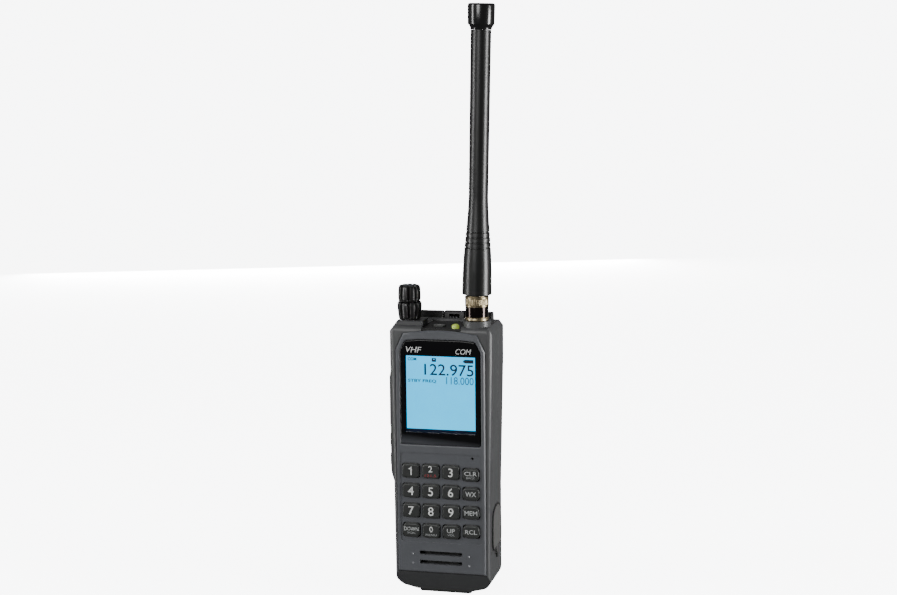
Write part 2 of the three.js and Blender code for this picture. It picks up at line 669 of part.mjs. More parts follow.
function topControls() {
  const place = [controlX, controlY, 0];
  const boxTop = cavityTop - GAP;
  const boxBottom = boxTop - control.height;
  const bushingTop = platformTop + control.bushingProud;
  const housing = block([-control.width / 2, -control.depth / 2, boxBottom], [control.width / 2,
    control.depth / 2, boxTop]).add(rod(control.bushing, boxTop - 1, bushingTop, SMALL_ROUND));
  const boreFloor = boxBottom + control.floor;
  const bore = rod(control.outerShaft + GAP, boreFloor, FAR, SMALL_ROUND);
  piece("control_unit", housing.subtract(bore), STEEL, place);

  const lowerBottom = platformTop + squelch.lift;
  const lowerTop = lowerBottom + squelch.height;
  const upperBottom = lowerTop + GAP;
  const upperTop = upperBottom + volume.collar + volume.height;
  const shaftBottom = boreFloor + GAP;
  const outerTop = lowerTop - squelch.cap;
  const innerTop = upperTop - volume.cap;

  const outer = rod(control.outerShaft, shaftBottom + control.step, outerTop, SMALL_ROUND);
  const inner = rod(control.innerShaft, shaftBottom, innerTop, SMALL_ROUND);
  const innerHole = rod(control.innerShaft + GAP, 0, FAR, SMALL_ROUND);
  piece("squelch_shaft", outer.subtract(innerHole), BRASS, place);
  piece("volume_shaft", inner, BRASS, place);

  const skirt = turned([[0, lowerBottom], [squelch.bottomRadius, lowerBottom],
    [squelch.radius, lowerBottom + squelch.shoulder], [squelch.crown, lowerTop], [0, lowerTop]]);
  const grip = alongZ(fluted(squelch.radius, squelch.flutes, squelch.fluteDepth), lowerBottom, lowerTop);
  const bushingHole = rod(control.bushing + GAP, 0, bushingTop + GAP, SMALL_ROUND);
  const shaftHole = rod(control.outerShaft + SEAT, 0, outerTop + SEAT, SMALL_ROUND);
  const lower = skirt.intersect(grip).subtract(wasm.Manifold.union([bushingHole, shaftHole, innerHole]));
  piece("squelch_knob", lower, BLACK, place);

  const collar = rod(volume.collarRadius, upperBottom, upperBottom + volume.collar + 0.5);
  const crown = alongZ(fluted(volume.radius, volume.flutes, volume.fluteDepth), upperBottom + volume.collar,
    upperTop, { edge: volume.edge });
  const seat = rod(control.innerShaft + SEAT, 0, innerTop + SEAT, SMALL_ROUND);
  piece("volume_knob", collar.add(crown).subtract(seat), BLACK, place);
}

// ---- Antenna and its socket -----------------------------------------------------------------------------

const barrelTop = bossTop + bnc.barrelLength;
const nutBottom = bossTop + GAP;
const nutTop = nutBottom + nut.length;
const lipBottom = barrelTop + GAP;
const lipTop = lipBottom + nut.lipThick;

function antennaSocket() {
  const flangeTop = cavityTop - GAP;
  const boreFloor = bossTop + bnc.floor;
  const contactFloor = boreFloor + bnc.contactDepth;
  const contactTop = barrelTop - bnc.contactDrop;
  const profile = [[0, flangeTop - bnc.flangeThick], [socketFlange, flangeTop - bnc.flangeThick],
    [socketFlange, flangeTop], [bnc.barrel, flangeTop], [bnc.barrel, barrelTop], [socketBore, barrelTop],
    [socketBore, boreFloor], [bnc.contact, boreFloor], [bnc.contact, contactTop],
    [bnc.contactBore, contactTop], [bnc.contactBore, contactFloor], [0, contactFloor]];
  const lugZ = barrelTop - bnc.lugDrop;
  const bars = rodAlongX(bnc.lug, -lugReach, lugReach, 0, lugZ, 8)
    .subtract(rodAlongX(bnc.lug + 1, -socketBore - GAP, socketBore + GAP, 0, lugZ, 8));
  piece("antenna_socket", turned(profile).add(bars), SILVER, [socketX, socketY, 0]);
}

function antennaPlug() {
  const place = [socketX, socketY, 0];
  const gripBottom = nutTop - nut.grip;
  const ringBottom = nutTop - nut.ring;
  const deep = nutRadius - nut.groove;
  const inner = plugStem + nut.lipRoom;
  const profile = [
    [nutBore, nutBottom],
    [nutRadius - nut.edge, nutBottom],
    [nutRadius, nutBottom + nut.edge],
    [nutRadius, gripBottom - 2 * nut.grooveWidth],
    [deep, gripBottom - nut.grooveWidth],
    [deep, gripBottom],
    [nutRadius, gripBottom + nut.grooveWidth],
    [nutRadius, ringBottom - 2 * nut.grooveWidth],
    [deep, ringBottom - nut.grooveWidth],
    [nutRadius, ringBottom],
    [nutRadius, nutTop - nut.edge],
    [nutRadius - nut.edge, nutTop],
    [plugFlange + GAP, nutTop],
    [plugFlange + GAP, lipTop],
    [inner, lipTop],
    [inner, lipBottom],
    [nutBore, lipBottom],
    [nutBore, nutBottom],
  ];
  piece("antenna_nut", turned(profile), SILVER, place);

  const flangeBottom = lipTop + GAP;
  const flangeTop = nutTop + plug.proud;
  const tip = barrelTop - plug.depth;
  const pinTip = tip + plug.pinShort;
  const stemBore = plugStem - plug.wall;
  const stem = [[0, pinTip], [plug.pin, pinTip], [plug.pin, flangeBottom], [stemBore, flangeBottom],
    [stemBore, tip], [plugStem, tip], [plugStem, flangeBottom], [plugFlange, flangeBottom],
    [plugFlange, flangeTop], [0, flangeTop]];
  piece("antenna_plug", turned(stem, SMALL_ROUND), BRASS, place);
}

/** The rubber whip, its core and its cap, leaning a little to the side. */
function antennaWhip() {
  const whip = new THREE.Group();
  whip.position.set(socketX, socketY, nutTop + antenna.above);
  whip.rotation.y = THREE.MathUtils.degToRad(antenna.lean);
  root.add(whip);

  const ringTop = antenna.firstRing + antenna.rings * antenna.ringPitch;
  const taper = (z) => {
    const share = (z - antenna.flareLength) / (antenna.neckStart - antenna.flareLength);
    const eased = 1 - (1 - share) ** antenna.ease;
    return antenna.flareTop + (antenna.neck - antenna.flareTop) * eased;
  };
  const skin = [[0, 0], [antenna.flare - antenna.flareEdge, 0], [antenna.flare, antenna.flareEdge],
    [antenna.flareTop, antenna.flareLength]];
  for (let i = 0; i < antenna.rings; i++) {
    const z = antenna.firstRing + i * antenna.ringPitch;
    const [below, above] = [z - antenna.ringHalf, z + antenna.ringHalf];
    skin.push([taper(below), below], [taper(z) - antenna.ring, z], [taper(above), above]);
  }
  for (let i = 1; i <= 3; i++) {
    const z = ringTop + ((antenna.neckStart - ringTop) * i) / 3;
    skin.push([taper(z), z]);
  }
  const end = antenna.length;
  skin.push([antenna.neck, end * 0.7], [antenna.tip, end], [antenna.spigot, end],
    [antenna.spigot, end + antenna.spigotLength], [0, end + antenna.spigotLength]);
  const coreTop = end - antenna.coreShort;
  const sheath = turned(skin).subtract(rod(antenna.core + GAP, -1, coreTop + GAP, SMALL_ROUND));
  piece("antenna_sheath", sheath, BLACK, [0, 0, 0], whip);
  piece("antenna_core", rod(antenna.core, GAP, coreTop, 8), BRASS, [0, 0, 0], whip);

  const low = end + GAP;
  const high = low + cap.length;
  const shell = turned([[0, low], [cap.neck, low], [cap.bottom, low + cap.chamfer],
    [cap.top, high - cap.edge], [cap.top - cap.edge, high], [0, high]]);
  const hole = rod(antenna.spigot + GAP, 0, end + antenna.spigotLength + GAP, SMALL_ROUND);
  piece("antenna_cap", shell.subtract(hole), BLACK, [0, 0, 0], whip);
}

// ---- Headset jacks --------------------------------------------------------------------------------------

function jack(name, bore, barrel, z) {
  const mouth = coverFloor - GAP;
  const inner = mouth - jacks.length;
  const profile = [[0, inner], [barrel, inner], [barrel, mouth], [bore, mouth], [bore, inner + jacks.end],
    [0, inner + jacks.end]];
  piece(name, turnedAlongX(profile, jackY, z), BLACK);
}

function headsetJacks() {
  jack("microphone_jack", jacks.microphoneBore, jacks.microphoneBarrel, jacks.lower);
  jack("headphone_jack", jacks.headphoneBore, jacks.headphoneBarrel, jacks.lower + jacks.pitch);
  const outer = body.half + cover.proud;
  const flap = alongX(coverOutline(), coverFloor + SEAT, outer, { edge: cover.edge, sides: 2 });
  piece("jack_cover", flap, FLAP);
}

// ---- Battery pack ---------------------------------------------------------------------------------------

function batteryPack() {
  const chamberHeight = cell.length + cell.buttonLength + 2 * SEAT;
  const tray = block([-packHalf, packFront, pack.bottom], [packHalf, bodyBack, packTop]);
  const pocketBottom = pack.bottom + latch.above - GAP;
  const pocketTop = pocketBottom + latch.height + latch.travel + 2 * GAP;
  const cuts = [block([-latch.half - GAP, bodyBack - latch.pocket, pocketBottom],
    [latch.half + GAP, FAR, pocketTop])];
  const cellY = bodyBack - pack.back - SEAT - cell.radius;
  for (let row = 0; row < cell.rows; row++) {
    const floor = pack.bottom + pack.end + row * (chamberHeight + pack.rib);
    cuts.push(block([-chamberHalf, -FAR, floor], [chamberHalf, bodyBack - pack.back, floor + chamberHeight]));
    for (let column = 0; column < cell.columns; column++) {
      const x = (column - (cell.columns - 1) / 2) * cellPitch;
      const shape = turned([[0, 0], [cell.radius, 0], [cell.radius, cell.length], [cell.button, cell.length],
        [cell.button, cell.length + cell.buttonLength], [0, cell.length + cell.buttonLength]], SMALL_ROUND);
      piece(`cell_${row * cell.columns + column + 1}`, shape, CELL, [x, cellY, floor + SEAT]);
    }
  }
  piece("battery_case", tray.subtract(wasm.Manifold.union(cuts)), CASE);

  const low = pack.bottom + latch.above;
  const front = bodyBack - latch.pocket + SEAT;
  const slider = block([-latch.half, front, low], [latch.half, front + latch.thick, low + latch.height]);
  const ridges = [0.25, 0.5, 0.75].map((share) => {
    const z = low + latch.height * share;
    return block(
      [latch.margin - latch.half, front + latch.margin / 2, z - latch.ridgeHalf],
      [latch.half - latch.margin, front + latch.thick + latch.ridge, z + latch.ridgeHalf],
    );
  });
  piece("battery_latch", slider.add(wasm.Manifold.union(ridges)), BLACK);
}

// ---- Belt clip ------------------------------------------------------------------------------------------

function beltClip() {
  const mountFace = bodyBack + SEAT;
  const earTop = body.height + clip.earTop;
  const earBottom = earTop - clip.earHeight;
  const pinY = mountFace + clip.pinOut;
  const pinZ = body.height - clip.pinDrop;
  const plateBack = mountFace + clip.plate;

  const plateHalf = clip.earHalf - clip.plateInset;
  const plateBottom = earBottom - clip.plateHeight;
  const plate = block([-plateHalf, mountFace, plateBottom], [plateHalf, plateBack, earBottom + 1]);
  const earShape = outline([[mountFace, earBottom], [mountFace + clip.earDepth - 1.5, earBottom, 1],
    [mountFace + clip.earDepth, earTop - 5, 2], [mountFace + clip.earDepth - 1.2, earTop, 1.4],
    [mountFace, earTop]]);
  const ears = [alongX(earShape, -clip.earHalf, -clip.earInner, { edge: clip.edge, sides: 2 }),
    alongX(earShape, clip.earInner, clip.earHalf, { edge: clip.edge, sides: 2 })];
  const holeHalf = clip.earHalf - clip.pinInset;
  const pinHalf = holeHalf - GAP;
  const pinHole = rodAlongX(clip.pin + GAP, -holeHalf, holeHalf, pinY, pinZ, SMALL_ROUND);
  piece("clip_bracket", plate.add(ears[0]).add(ears[1]).subtract(pinHole), BLACK);
  piece("clip_pin", rodAlongX(clip.pin, -pinHalf, pinHalf, pinY, pinZ, 12), STEEL);

  const bladeInner = plateBack + clip.gap;
  const bladeOuter = bladeInner + clip.thick;
  const bladeTop = earBottom - 1;
  const bladeBottom = packTop + pack.clearance + clip.aboveBattery;
  const knee = bladeTop - clip.knee;
  const leafTop = bladeTop - clip.leafOverlap;
  const lever = outline([[pinY - clip.hub + 1, pinZ - clip.hub], [plateBack + 3.2, pinZ - clip.hub],
    [bladeInner, bladeTop, 2], [bladeInner, knee], [bladeOuter, knee],
    [bladeOuter, bladeTop + 1, 3], [pinY + clip.hub, pinZ + 1, 1], [pinY + clip.hub - 0.6, earTop, 0.8],
    [pinY - clip.hub + 1.4, earTop, 0.8], [pinY - clip.hub + 0.4, pinZ - 1]]);
  const blade = outline([[bladeInner, leafTop], [bladeInner, bladeBottom + 7, 3],
    [bladeInner + clip.tip, bladeBottom], [bladeOuter + clip.tip, bladeBottom + 0.8],
    [bladeOuter, bladeBottom + 8, 3], [bladeOuter, leafTop, 1]]);
  const arm = alongX(lever, -clip.lever, clip.lever, { edge: clip.edge, sides: 3 });
  const leaf = alongX(blade, -clip.blade, clip.blade, { edge: clip.edge, sides: 3 });
  const bore = rodAlongX(clip.pin + GAP, -FAR, FAR, pinY, pinZ, SMALL_ROUND);
  const nest = block([-clip.coilHalf - GAP, -FAR, pinZ - clip.coil - GAP],
    [clip.coilHalf + GAP, pinY, pinZ + clip.coil + GAP])
    .add(rodAlongX(clip.coil + GAP, -clip.coilHalf - GAP, clip.coilHalf + GAP, pinY, pinZ, SMALL_ROUND));
  piece("belt_clip", arm.add(leaf).subtract(bore).subtract(nest), BLACK);

  const coil = [[clip.pin + GAP, -clip.coilHalf]];
  const step = (2 * clip.coilHalf) / clip.turns;
  for (let i = 0; i < clip.turns; i++) {
    const start = i * step - clip.coilHalf;
    coil.push([clip.coil - clip.wire, start], [clip.coil, start + step / 2]);
  }
  coil.push([clip.coil - clip.wire, clip.coilHalf], [clip.pin + GAP, clip.coilHalf], coil[0]);
  piece("clip_spring", turnedAlongX(coil, pinY, pinZ, SMALL_ROUND), STEEL);
}

// ---- Assembly -------------------------------------------------------------------------------------------

frontCase();
rearCase();
frontBezel();
topInsert();
basePad();
display();
electronics();
sound();
frontKeys();
sideKey("ptt_button", ptt.length, pttMiddle);
sideKey("side_key_upper", sideKeys.length, upperKeyZ);
sideKey("side_key_lower", sideKeys.length, lowerKeyZ);
topKeyAndLight();
topControls();
antennaSocket();
antennaPlug();
antennaWhip();
headsetJacks();
batteryPack();
beltClip();

export default root;
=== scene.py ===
"""The finished looks of a handheld aviation radio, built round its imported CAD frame."""

import logging
import math
from collections.abc import Callable, Iterable
from dataclasses import dataclass, field
from enum import Enum

import bmesh
import bpy
from mathutils import Matrix, Vector


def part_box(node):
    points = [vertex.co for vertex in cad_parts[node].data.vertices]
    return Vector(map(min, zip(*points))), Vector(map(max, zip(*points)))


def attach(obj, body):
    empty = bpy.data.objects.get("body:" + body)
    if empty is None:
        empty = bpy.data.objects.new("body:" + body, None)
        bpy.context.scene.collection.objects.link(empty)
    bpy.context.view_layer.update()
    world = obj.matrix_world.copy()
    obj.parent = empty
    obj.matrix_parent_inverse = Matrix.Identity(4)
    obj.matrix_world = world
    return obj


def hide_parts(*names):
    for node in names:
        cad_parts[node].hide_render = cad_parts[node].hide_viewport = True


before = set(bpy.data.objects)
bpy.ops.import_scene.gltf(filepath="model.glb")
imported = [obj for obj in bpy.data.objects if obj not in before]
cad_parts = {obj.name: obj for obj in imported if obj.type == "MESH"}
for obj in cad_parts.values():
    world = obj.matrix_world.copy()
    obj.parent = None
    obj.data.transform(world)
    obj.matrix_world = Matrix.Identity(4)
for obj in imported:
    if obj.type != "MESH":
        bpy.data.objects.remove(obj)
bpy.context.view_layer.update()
MM = 0.001
ROUND_STEPS = 96
SHARP_EDGE = 42.0
LOG = logging.getLogger("radio")

Color = tuple[float, float, float, float]


def srgb(red: int, green: int, blue: int) -> Color:
    """A display colour as linear light.

    Args:
        red: Red from 0 to 255.
        green: Green from 0 to 255.
        blue: Blue from 0 to 255.

    Returns:
        The same colour in the linear values that shaders use, with full alpha.
    """
    def linear(value: int) -> float:
        """One channel as linear light."""
        share = value / 255
        return share / 12.92 if share <= 0.04045 else ((share + 0.055) / 1.055) ** 2.4

    return (linear(red), linear(green), linear(blue), 1.0)


class Axis(Enum):
    """A main axis, by its number."""

    X = 0
    Y = 1
    Z = 2


# ---- Shader graphs --------------------------------------------------------------------------------------


class Sock:
    """A shader socket that takes part in Python arithmetic."""

    def __init__(self, graph: "Graph", socket: bpy.types.NodeSocket) -> None:
        """Wraps an output socket of a graph."""
        self.graph = graph
        self.socket = socket

    def math(self, operation: str, *others: "float | Sock", swap: bool = False) -> "Sock":
        """Adds a Math node that works on this socket.

        Args:
            operation: The Math node's operation.
            others: The other operands.
            swap: Whether this socket comes second.

        Returns:
            The result.
        """
        operands = [*others, self] if swap else [self, *others]
        made = self.graph.node("ShaderNodeMath", {"operation": operation}, dict(enumerate(operands)))
        return Sock(self.graph, made.outputs[0])

    def __add__(self, other: "float | Sock") -> "Sock":
        """The sum."""
        return self.math("ADD", other)

    __radd__ = __add__

    def __sub__(self, other: "float | Sock") -> "Sock":
        """The difference."""
        return self.math("SUBTRACT", other)

    def __rsub__(self, other: float) -> "Sock":
        """The difference, the other way round."""
        return self.math("SUBTRACT", other, swap=True)

    def __mul__(self, other: "float | Sock") -> "Sock":
        """The product."""
        return self.math("MULTIPLY", other)

    __rmul__ = __mul__

    def __pow__(self, other: float) -> "Sock":
        """The power."""
        return self.math("POWER", other)

    def fract(self) -> "Sock":
        """The part after the decimal point."""
        return self.math("FRACT")

    def above(self, limit: float) -> "Sock":
        """One where this is greater than a limit, and otherwise nothing."""
        return self.math("GREATER_THAN", limit)

    def below(self, limit: float) -> "Sock":
        """One where this is less than a limit, and otherwise nothing."""
        return self.math("LESS_THAN", limit)

    def ramp(self, low: float, high: float) -> "Sock":
        """Nothing up to low, one from high on, and an even rise between."""
        made = self.graph.node(
            "ShaderNodeMapRange",
            {"clamp": True},
            {"Value": self, "From Min": low, "From Max": high, "To Min": 0.0, "To Max": 1.0},
        )
        return Sock(self.graph, made.outputs[0])


class Graph:
    """The node tree of one material, round one Principled shader."""

    def __init__(self, name: str) -> None:
        """Starts a material with its shader and its object coordinates."""
        self.material = bpy.data.materials.new(name)
        self.material.use_nodes = True
        self.tree = self.material.node_tree
        self.shader = self.tree.nodes["Principled BSDF"]
        self.place = Sock(self, self.node("ShaderNodeTexCoord").outputs["Object"])

    def node(
        self,
        kind: str,
        settings: dict[str, object] | None = None,
        inputs: dict[str | int, object] | None = None,
    ) -> bpy.types.Node:
        """Adds a node.

        Args:
            kind: The node's type.
            settings: Its settings, set before anything is linked.
            inputs: A value or a socket for each of its inputs that matters.

        Returns:
            The node.
        """
        made = self.tree.nodes.new(kind)
        for key, value in (settings or {}).items():
            setattr(made, key, value)
        for key, value in (inputs or {}).items():
            self.feed(made.inputs[key], value)
        return made

    def feed(self, socket: bpy.types.NodeSocket, value: object) -> None:
        """Links a socket to another, or gives it a value."""
        if isinstance(value, Sock):
            self.tree.links.new(value.socket, socket)
        else:
            socket.default_value = value

    def constant(self, **values: object) -> None:
        """Sets sockets of the shader itself, named with _ in place of a space."""
        for key, value in values.items():
            self.shader.inputs[key.replace("_", " ")].default_value = value

    def vary(self, **values: Sock) -> None:
        """Links sockets of the shader itself, named with _ in place of a space."""
        for key, value in values.items():
            self.feed(self.shader.inputs[key.replace("_", " ")], value)

    def axis(self, name: str) -> Sock:
        """One coordinate of the surface, in millimetres."""
        made = self.node("ShaderNodeSeparateXYZ", inputs={0: self.place})
        return Sock(self, made.outputs[name]) * (1 / MM)

    def noise(
        self, size: float, detail: float = 3.0, stretch: tuple[float, float, float] = (1, 1, 1)
    ) -> Sock:
        """Soft random variation.

        Args:
            size: The size of one blob in millimetres.
            detail: How many finer layers it has.
            stretch: How much finer it runs along each axis.

        Returns:
            A value about a half.
        """
        mapped = self.node("ShaderNodeMapping", inputs={"Vector": self.place, "Scale": stretch})
        made = self.node(
            "ShaderNodeTexNoise",
            inputs={"Vector": Sock(self, mapped.outputs[0]), "Scale": 1 / (size * MM), "Detail": detail},
        )
        return Sock(self, made.outputs[0])

    def cells(self, size: float) -> Sock:
        """The distance from the middle of random cells of a size in millimetres."""
        made = self.node("ShaderNodeTexVoronoi", inputs={"Vector": self.place, "Scale": 1 / (size * MM)})
        return Sock(self, made.outputs["Distance"])

    def mix(self, share: Sock, first: "Color | Sock", second: "Color | Sock") -> Sock:
        """A colour between two, by share."""
        made = self.node("ShaderNodeMix", {"data_type": "RGBA"}, {0: share, 6: first, 7: second})
        return Sock(self, made.outputs[2])

    def relief(self, height: Sock, depth: float) -> None:
        """Gives the surface a relief of a depth in millimetres."""
        inputs = {"Strength": 1.0, "Distance": depth * MM, "Height": height}
        self.vary(Normal=Sock(self, self.node("ShaderNodeBump", inputs=inputs).outputs[0]))


def scaled(color: Color, factor: float) -> Color:
    """A colour made lighter or darker by a factor."""
    return (color[0] * factor, color[1] * factor, color[2] * factor, 1.0)


@dataclass(frozen=True)
class Finish:
    """How a surface looks."""

    name: str

    def paint(self, graph: Graph) -> None:
        """Builds the surface's nodes."""
        raise NotImplementedError

    def material(self) -> bpy.types.Material:
        """The material of this finish, built the first time it is asked for."""
        full_name = f"{self.name}_finish"
        made = bpy.data.materials.get(full_name)
        if made is None:
            graph = Graph(full_name)
            self.paint(graph)
            made = graph.material
        return made


@dataclass(frozen=True)
class MouldedPlastic(Finish):
    """Injection-moulded plastic with a spark-eroded grain, handled a little shiny in places."""

    color: Color = srgb(60, 61, 62)
    roughness: float = 0.5
    grain: float = 0.28
    depth: float = 0.012
    mottle: float = 0.12
    specular: float = 0.5
    cloud: float = 14.0
    scuff: float = 3.0
    ripple: float = 1.1
    shine: float = 0.08

    def paint(self, graph: Graph) -> None:
        """Builds the grain, the mottling and the handling shine."""
        grain = graph.noise(self.grain, 2.0)
        cloud = graph.noise(self.cloud, 4.0)
        scuff = graph.noise(self.scuff, 5.0, (1.0, 1.0, 0.25)).ramp(0.58, 0.72)
        tone = graph.mix(cloud, scaled(self.color, 1 - self.mottle), scaled(self.color, 1 + self.mottle))
        worn = graph.mix(scuff * 0.12, tone, scaled(self.color, 1.8))
        speck = graph.mix(grain.ramp(0.35, 0.7) * 0.35, worn, scaled(self.color, 0.72))
        rough = cloud * (2 * self.shine) + scuff * -self.shine + (self.roughness - self.shine)
        graph.vary(Base_Color=speck, Roughness=rough)
        graph.constant(Specular_IOR_Level=self.specular)
        graph.relief(grain + graph.noise(self.ripple, 2.0) * 0.5, self.depth)


@dataclass(frozen=True)
class SoftRubber(Finish):
    """Silicone or thermoplastic rubber, matt, with a faint bloom and dust in its grain."""

    color: Color = srgb(30, 31, 31)
    roughness: float = 0.62
    grain: float = 0.16
    depth: float = 0.007
    bloom: float = 0.15
    dust: Color = srgb(120, 118, 112)
    cloud: float = 6.0
    speck: float = 0.6

    def paint(self, graph: Graph) -> None:
        """Builds the grain and the dusty bloom."""
        grain = graph.noise(self.grain, 2.0)
        cloud = graph.noise(self.cloud, 4.0)
        dust = graph.noise(self.speck, 4.0).ramp(0.56, 0.8)
        tone = graph.mix(cloud, scaled(self.color, 0.85), scaled(self.color, 1.18))
        graph.vary(
            Base_Color=graph.mix(dust * self.bloom, tone, self.dust),
            Roughness=cloud * 0.14 + (self.roughness - 0.07),
        )
        graph.constant(Sheen_Weight=0.12, Sheen_Roughness=0.5, Specular_IOR_Level=0.4)
        graph.relief(grain, self.depth)


@dataclass(frozen=True)
class WhipRubber(Finish):
    """Smooth moulded rubber of a whip antenna: satin, with faint drawn streaks along it."""

    color: Color = srgb(12, 12, 12)
    roughness: float = 0.34
    streak: float = 1.4
    pit: float = 0.22
    cloud: float = 9.0
    specular: float = 0.42

    def paint(self, graph: Graph) -> None:
        """Builds the long streaks and the fine pitting."""
        streak = graph.noise(self.streak, 3.0, (1.0, 1.0, 0.03))
        pit = graph.noise(self.pit, 2.0)
        cloud = graph.noise(self.cloud, 3.0, (1.0, 1.0, 0.3))
        graph.vary(
            Base_Color=graph.mix(cloud, scaled(self.color, 0.75), scaled(self.color, 1.35)),
            Roughness=streak * 0.1 + cloud * 0.12 + (self.roughness - 0.1),
        )
        graph.constant(Specular_IOR_Level=self.specular)
        graph.relief(pit * 0.3 + streak * 0.7, 0.004)


@dataclass(frozen=True)
class TurnedMetal(Finish):
    """Metal turned on a lathe: fine rings round one axis, with a little tarnish between them."""

    color: Color = srgb(190, 184, 170)
    tarnish: Color = srgb(120, 108, 86)
    roughness: float = 0.22
    ring: float = 0.12
    spot: float = 1.6
    across: float = 0.02
    along: Axis = Axis.Z

    def paint(self, graph: Graph) -> None:
        """Builds the tool rings and the tarnish."""
        stretch = tuple(1.0 if axis is self.along else self.across for axis in Axis)
        rings = graph.noise(self.ring, 3.0, stretch)
        spots = graph.noise(self.spot, 4.0).ramp(0.5, 0.75)
        graph.vary(
            Base_Color=graph.mix(spots * 0.5 + rings * 0.2, self.color, self.tarnish),
            Roughness=rings * 0.2 + spots * 0.12 + (self.roughness - 0.1),
        )
        graph.constant(Metallic=1.0)
        graph.relief(rings, 0.003)


@dataclass(frozen=True)
class SheetMetal(Finish):
    """Bright tinned or zinc-plated sheet, faintly crystalline."""

    color: Color = srgb(176, 178, 180)
    roughness: float = 0.34
    crystal: float = 2.4
    mark: float = 0.5

    def paint(self, graph: Graph) -> None:
        """Builds the spangle and the rolling marks."""
        spangle = graph.cells(self.crystal)
        rolled = graph.noise(self.mark, 3.0, (0.1, 1.0, 1.0))
        graph.vary(
            Base_Color=graph.mix(spangle, scaled(self.color, 0.86), self.color),
            Roughness=spangle * 0.12 + rolled * 0.12 + (self.roughness - 0.12),
        )
        graph.constant(Metallic=1.0)
        graph.relief(rolled, 0.01)


@dataclass(frozen=True)
class BlackGloss(Finish):
    """Hard black gloss: a printed lens border or a polished cap, with faint wiping haze."""

    color: Color = srgb(5, 5, 7)
    roughness: float = 0.08
    coat: float = 0.15
    specular: float = 0.3
    haze: float = 9.0
    scratch: float = 0.3

    def paint(self, graph: Graph) -> None:
        """Builds the haze and the hair scratches."""
        haze = graph.noise(self.haze, 5.0, (1.0, 1.0, 0.5))
        hair = graph.noise(self.scratch, 2.0, (1.0, 1.0, 0.06)).ramp(0.62, 0.8)
        graph.vary(
            Base_Color=graph.mix(haze, self.color, scaled(self.color, 1.6)),
            Roughness=haze * 0.05 + hair * 0.05 + self.roughness,
            Coat_Weight=haze * 0.2 + (self.coat - 0.1),
        )
        graph.constant(Coat_Roughness=0.04, Specular_IOR_Level=self.specular)


@dataclass(frozen=True)
class PrintedBorder(BlackGloss):
    """The lens's black border, with a painted reflection: grey that grows towards its slanting foot."""

    # The grey of the painted reflection at the border's foot.
    painted_reflection: Color = srgb(66, 68, 72)
    foot: float = 95.5
    rise: float = 4.5
    slope: float = 0.085

    def paint(self, graph: Graph) -> None:
        """Builds the gloss and the painted reflection, grey at the slanting foot."""
        super().paint(graph)
        line = graph.axis("Z") + graph.axis("X") * self.slope
        # Painted reflection: the base colour turns grey below a slanting line near the foot.
        painted_reflection = 1 - line.ramp(self.foot, self.foot + self.rise)
        haze = graph.noise(self.haze, 5.0)
        graph.vary(Base_Color=graph.mix(painted_reflection * (haze * 0.3 + 0.7), self.color, self.painted_reflection))


@dataclass(frozen=True)
class WindowGlass(Finish):
    """The clear part of the lens, seen only by its reflections."""

    tint: Color = srgb(20, 26, 34)
    strength: float = 0.1
    haze: float = 12.0

    def paint(self, graph: Graph) -> None:
        """Builds the thin film of gloss."""
        haze = graph.noise(self.haze, 4.0)
        graph.vary(Alpha=haze * 0.03 + (self.strength - 0.015), Roughness=haze * 0.04 + 0.02)
        graph.constant(Base_Color=self.tint)


@dataclass(frozen=True)
class LitScreen(Finish):
    """A backlit liquid-crystal panel: pale blue, brighter at its foot, with its dot grid just showing."""

    color: Color = srgb(0, 190, 255)
    pale: Color = srgb(0, 204, 255)
    line: Color = srgb(52, 150, 214)
    dot: float = 0.33
    gap: float = 0.12
    glow: float = 2.2
    foot: float = 104.0
    head: float = 151.0
    cloud: float = 7.0

    def paint(self, graph: Graph) -> None:
        """Builds the glow, which is stronger at the foot, and the dot grid."""
        columns, rows = ((graph.axis(name) * (1 / self.dot)).fract().below(self.gap) for name in "XZ")
        rise = 1 - graph.axis("Z").ramp(self.foot, self.head)
        cloud = graph.noise(self.cloud, 3.0)
        tone = graph.mix(rise * 0.35 + cloud * 0.3, self.color, self.pale)
        lit = graph.mix((columns + rows).ramp(0.0, 1.0) * 0.14, tone, self.line)
        unlit = graph.mix(cloud, scaled(self.color, 0.12), scaled(self.color, 0.25))
        graph.vary(Base_Color=unlit, Emission_Color=lit, Roughness=cloud * 0.1 + 0.35)
        graph.constant(Emission_Strength=self.glow)


@dataclass(frozen=True)
class Ink(Finish):
    """Printed or segment ink, very slightly uneven."""

    color: Color = srgb(222, 224, 222)
    roughness: float = 0.55
    glow: float = 0.0
    patch: float = 0.5

    def paint(self, graph: Graph) -> None:
        """Builds the uneven ink."""
        patch = graph.noise(self.patch, 4.0)
        tone = graph.mix(patch, scaled(self.color, 0.86), scaled(self.color, 1.06))
        graph.vary(Base_Color=tone, Roughness=patch * 0.15 + (self.roughness - 0.07))
        if self.glow:
            graph.vary(Emission_Color=tone)
            graph.constant(Emission_Strength=self.glow)


@dataclass(frozen=True)
class LightPipe(Finish):
    """Translucent tinted plastic, lit from below."""

    color: Color = srgb(176, 198, 84)
    glow: float = 0.3
    streak: float = 1.2

    def paint(self, graph: Graph) -> None:
        """Builds the glow, which is weaker in streaks."""
        streak = graph.noise(self.streak, 3.0, (1.0, 1.0, 0.3))
        tone = graph.mix(streak, scaled(self.color, 0.7), self.color)
        graph.vary(Base_Color=tone, Emission_Color=tone, Roughness=streak * 0.1 + 0.12)
        graph.constant(Emission_Strength=self.glow, Subsurface_Weight=0.2)


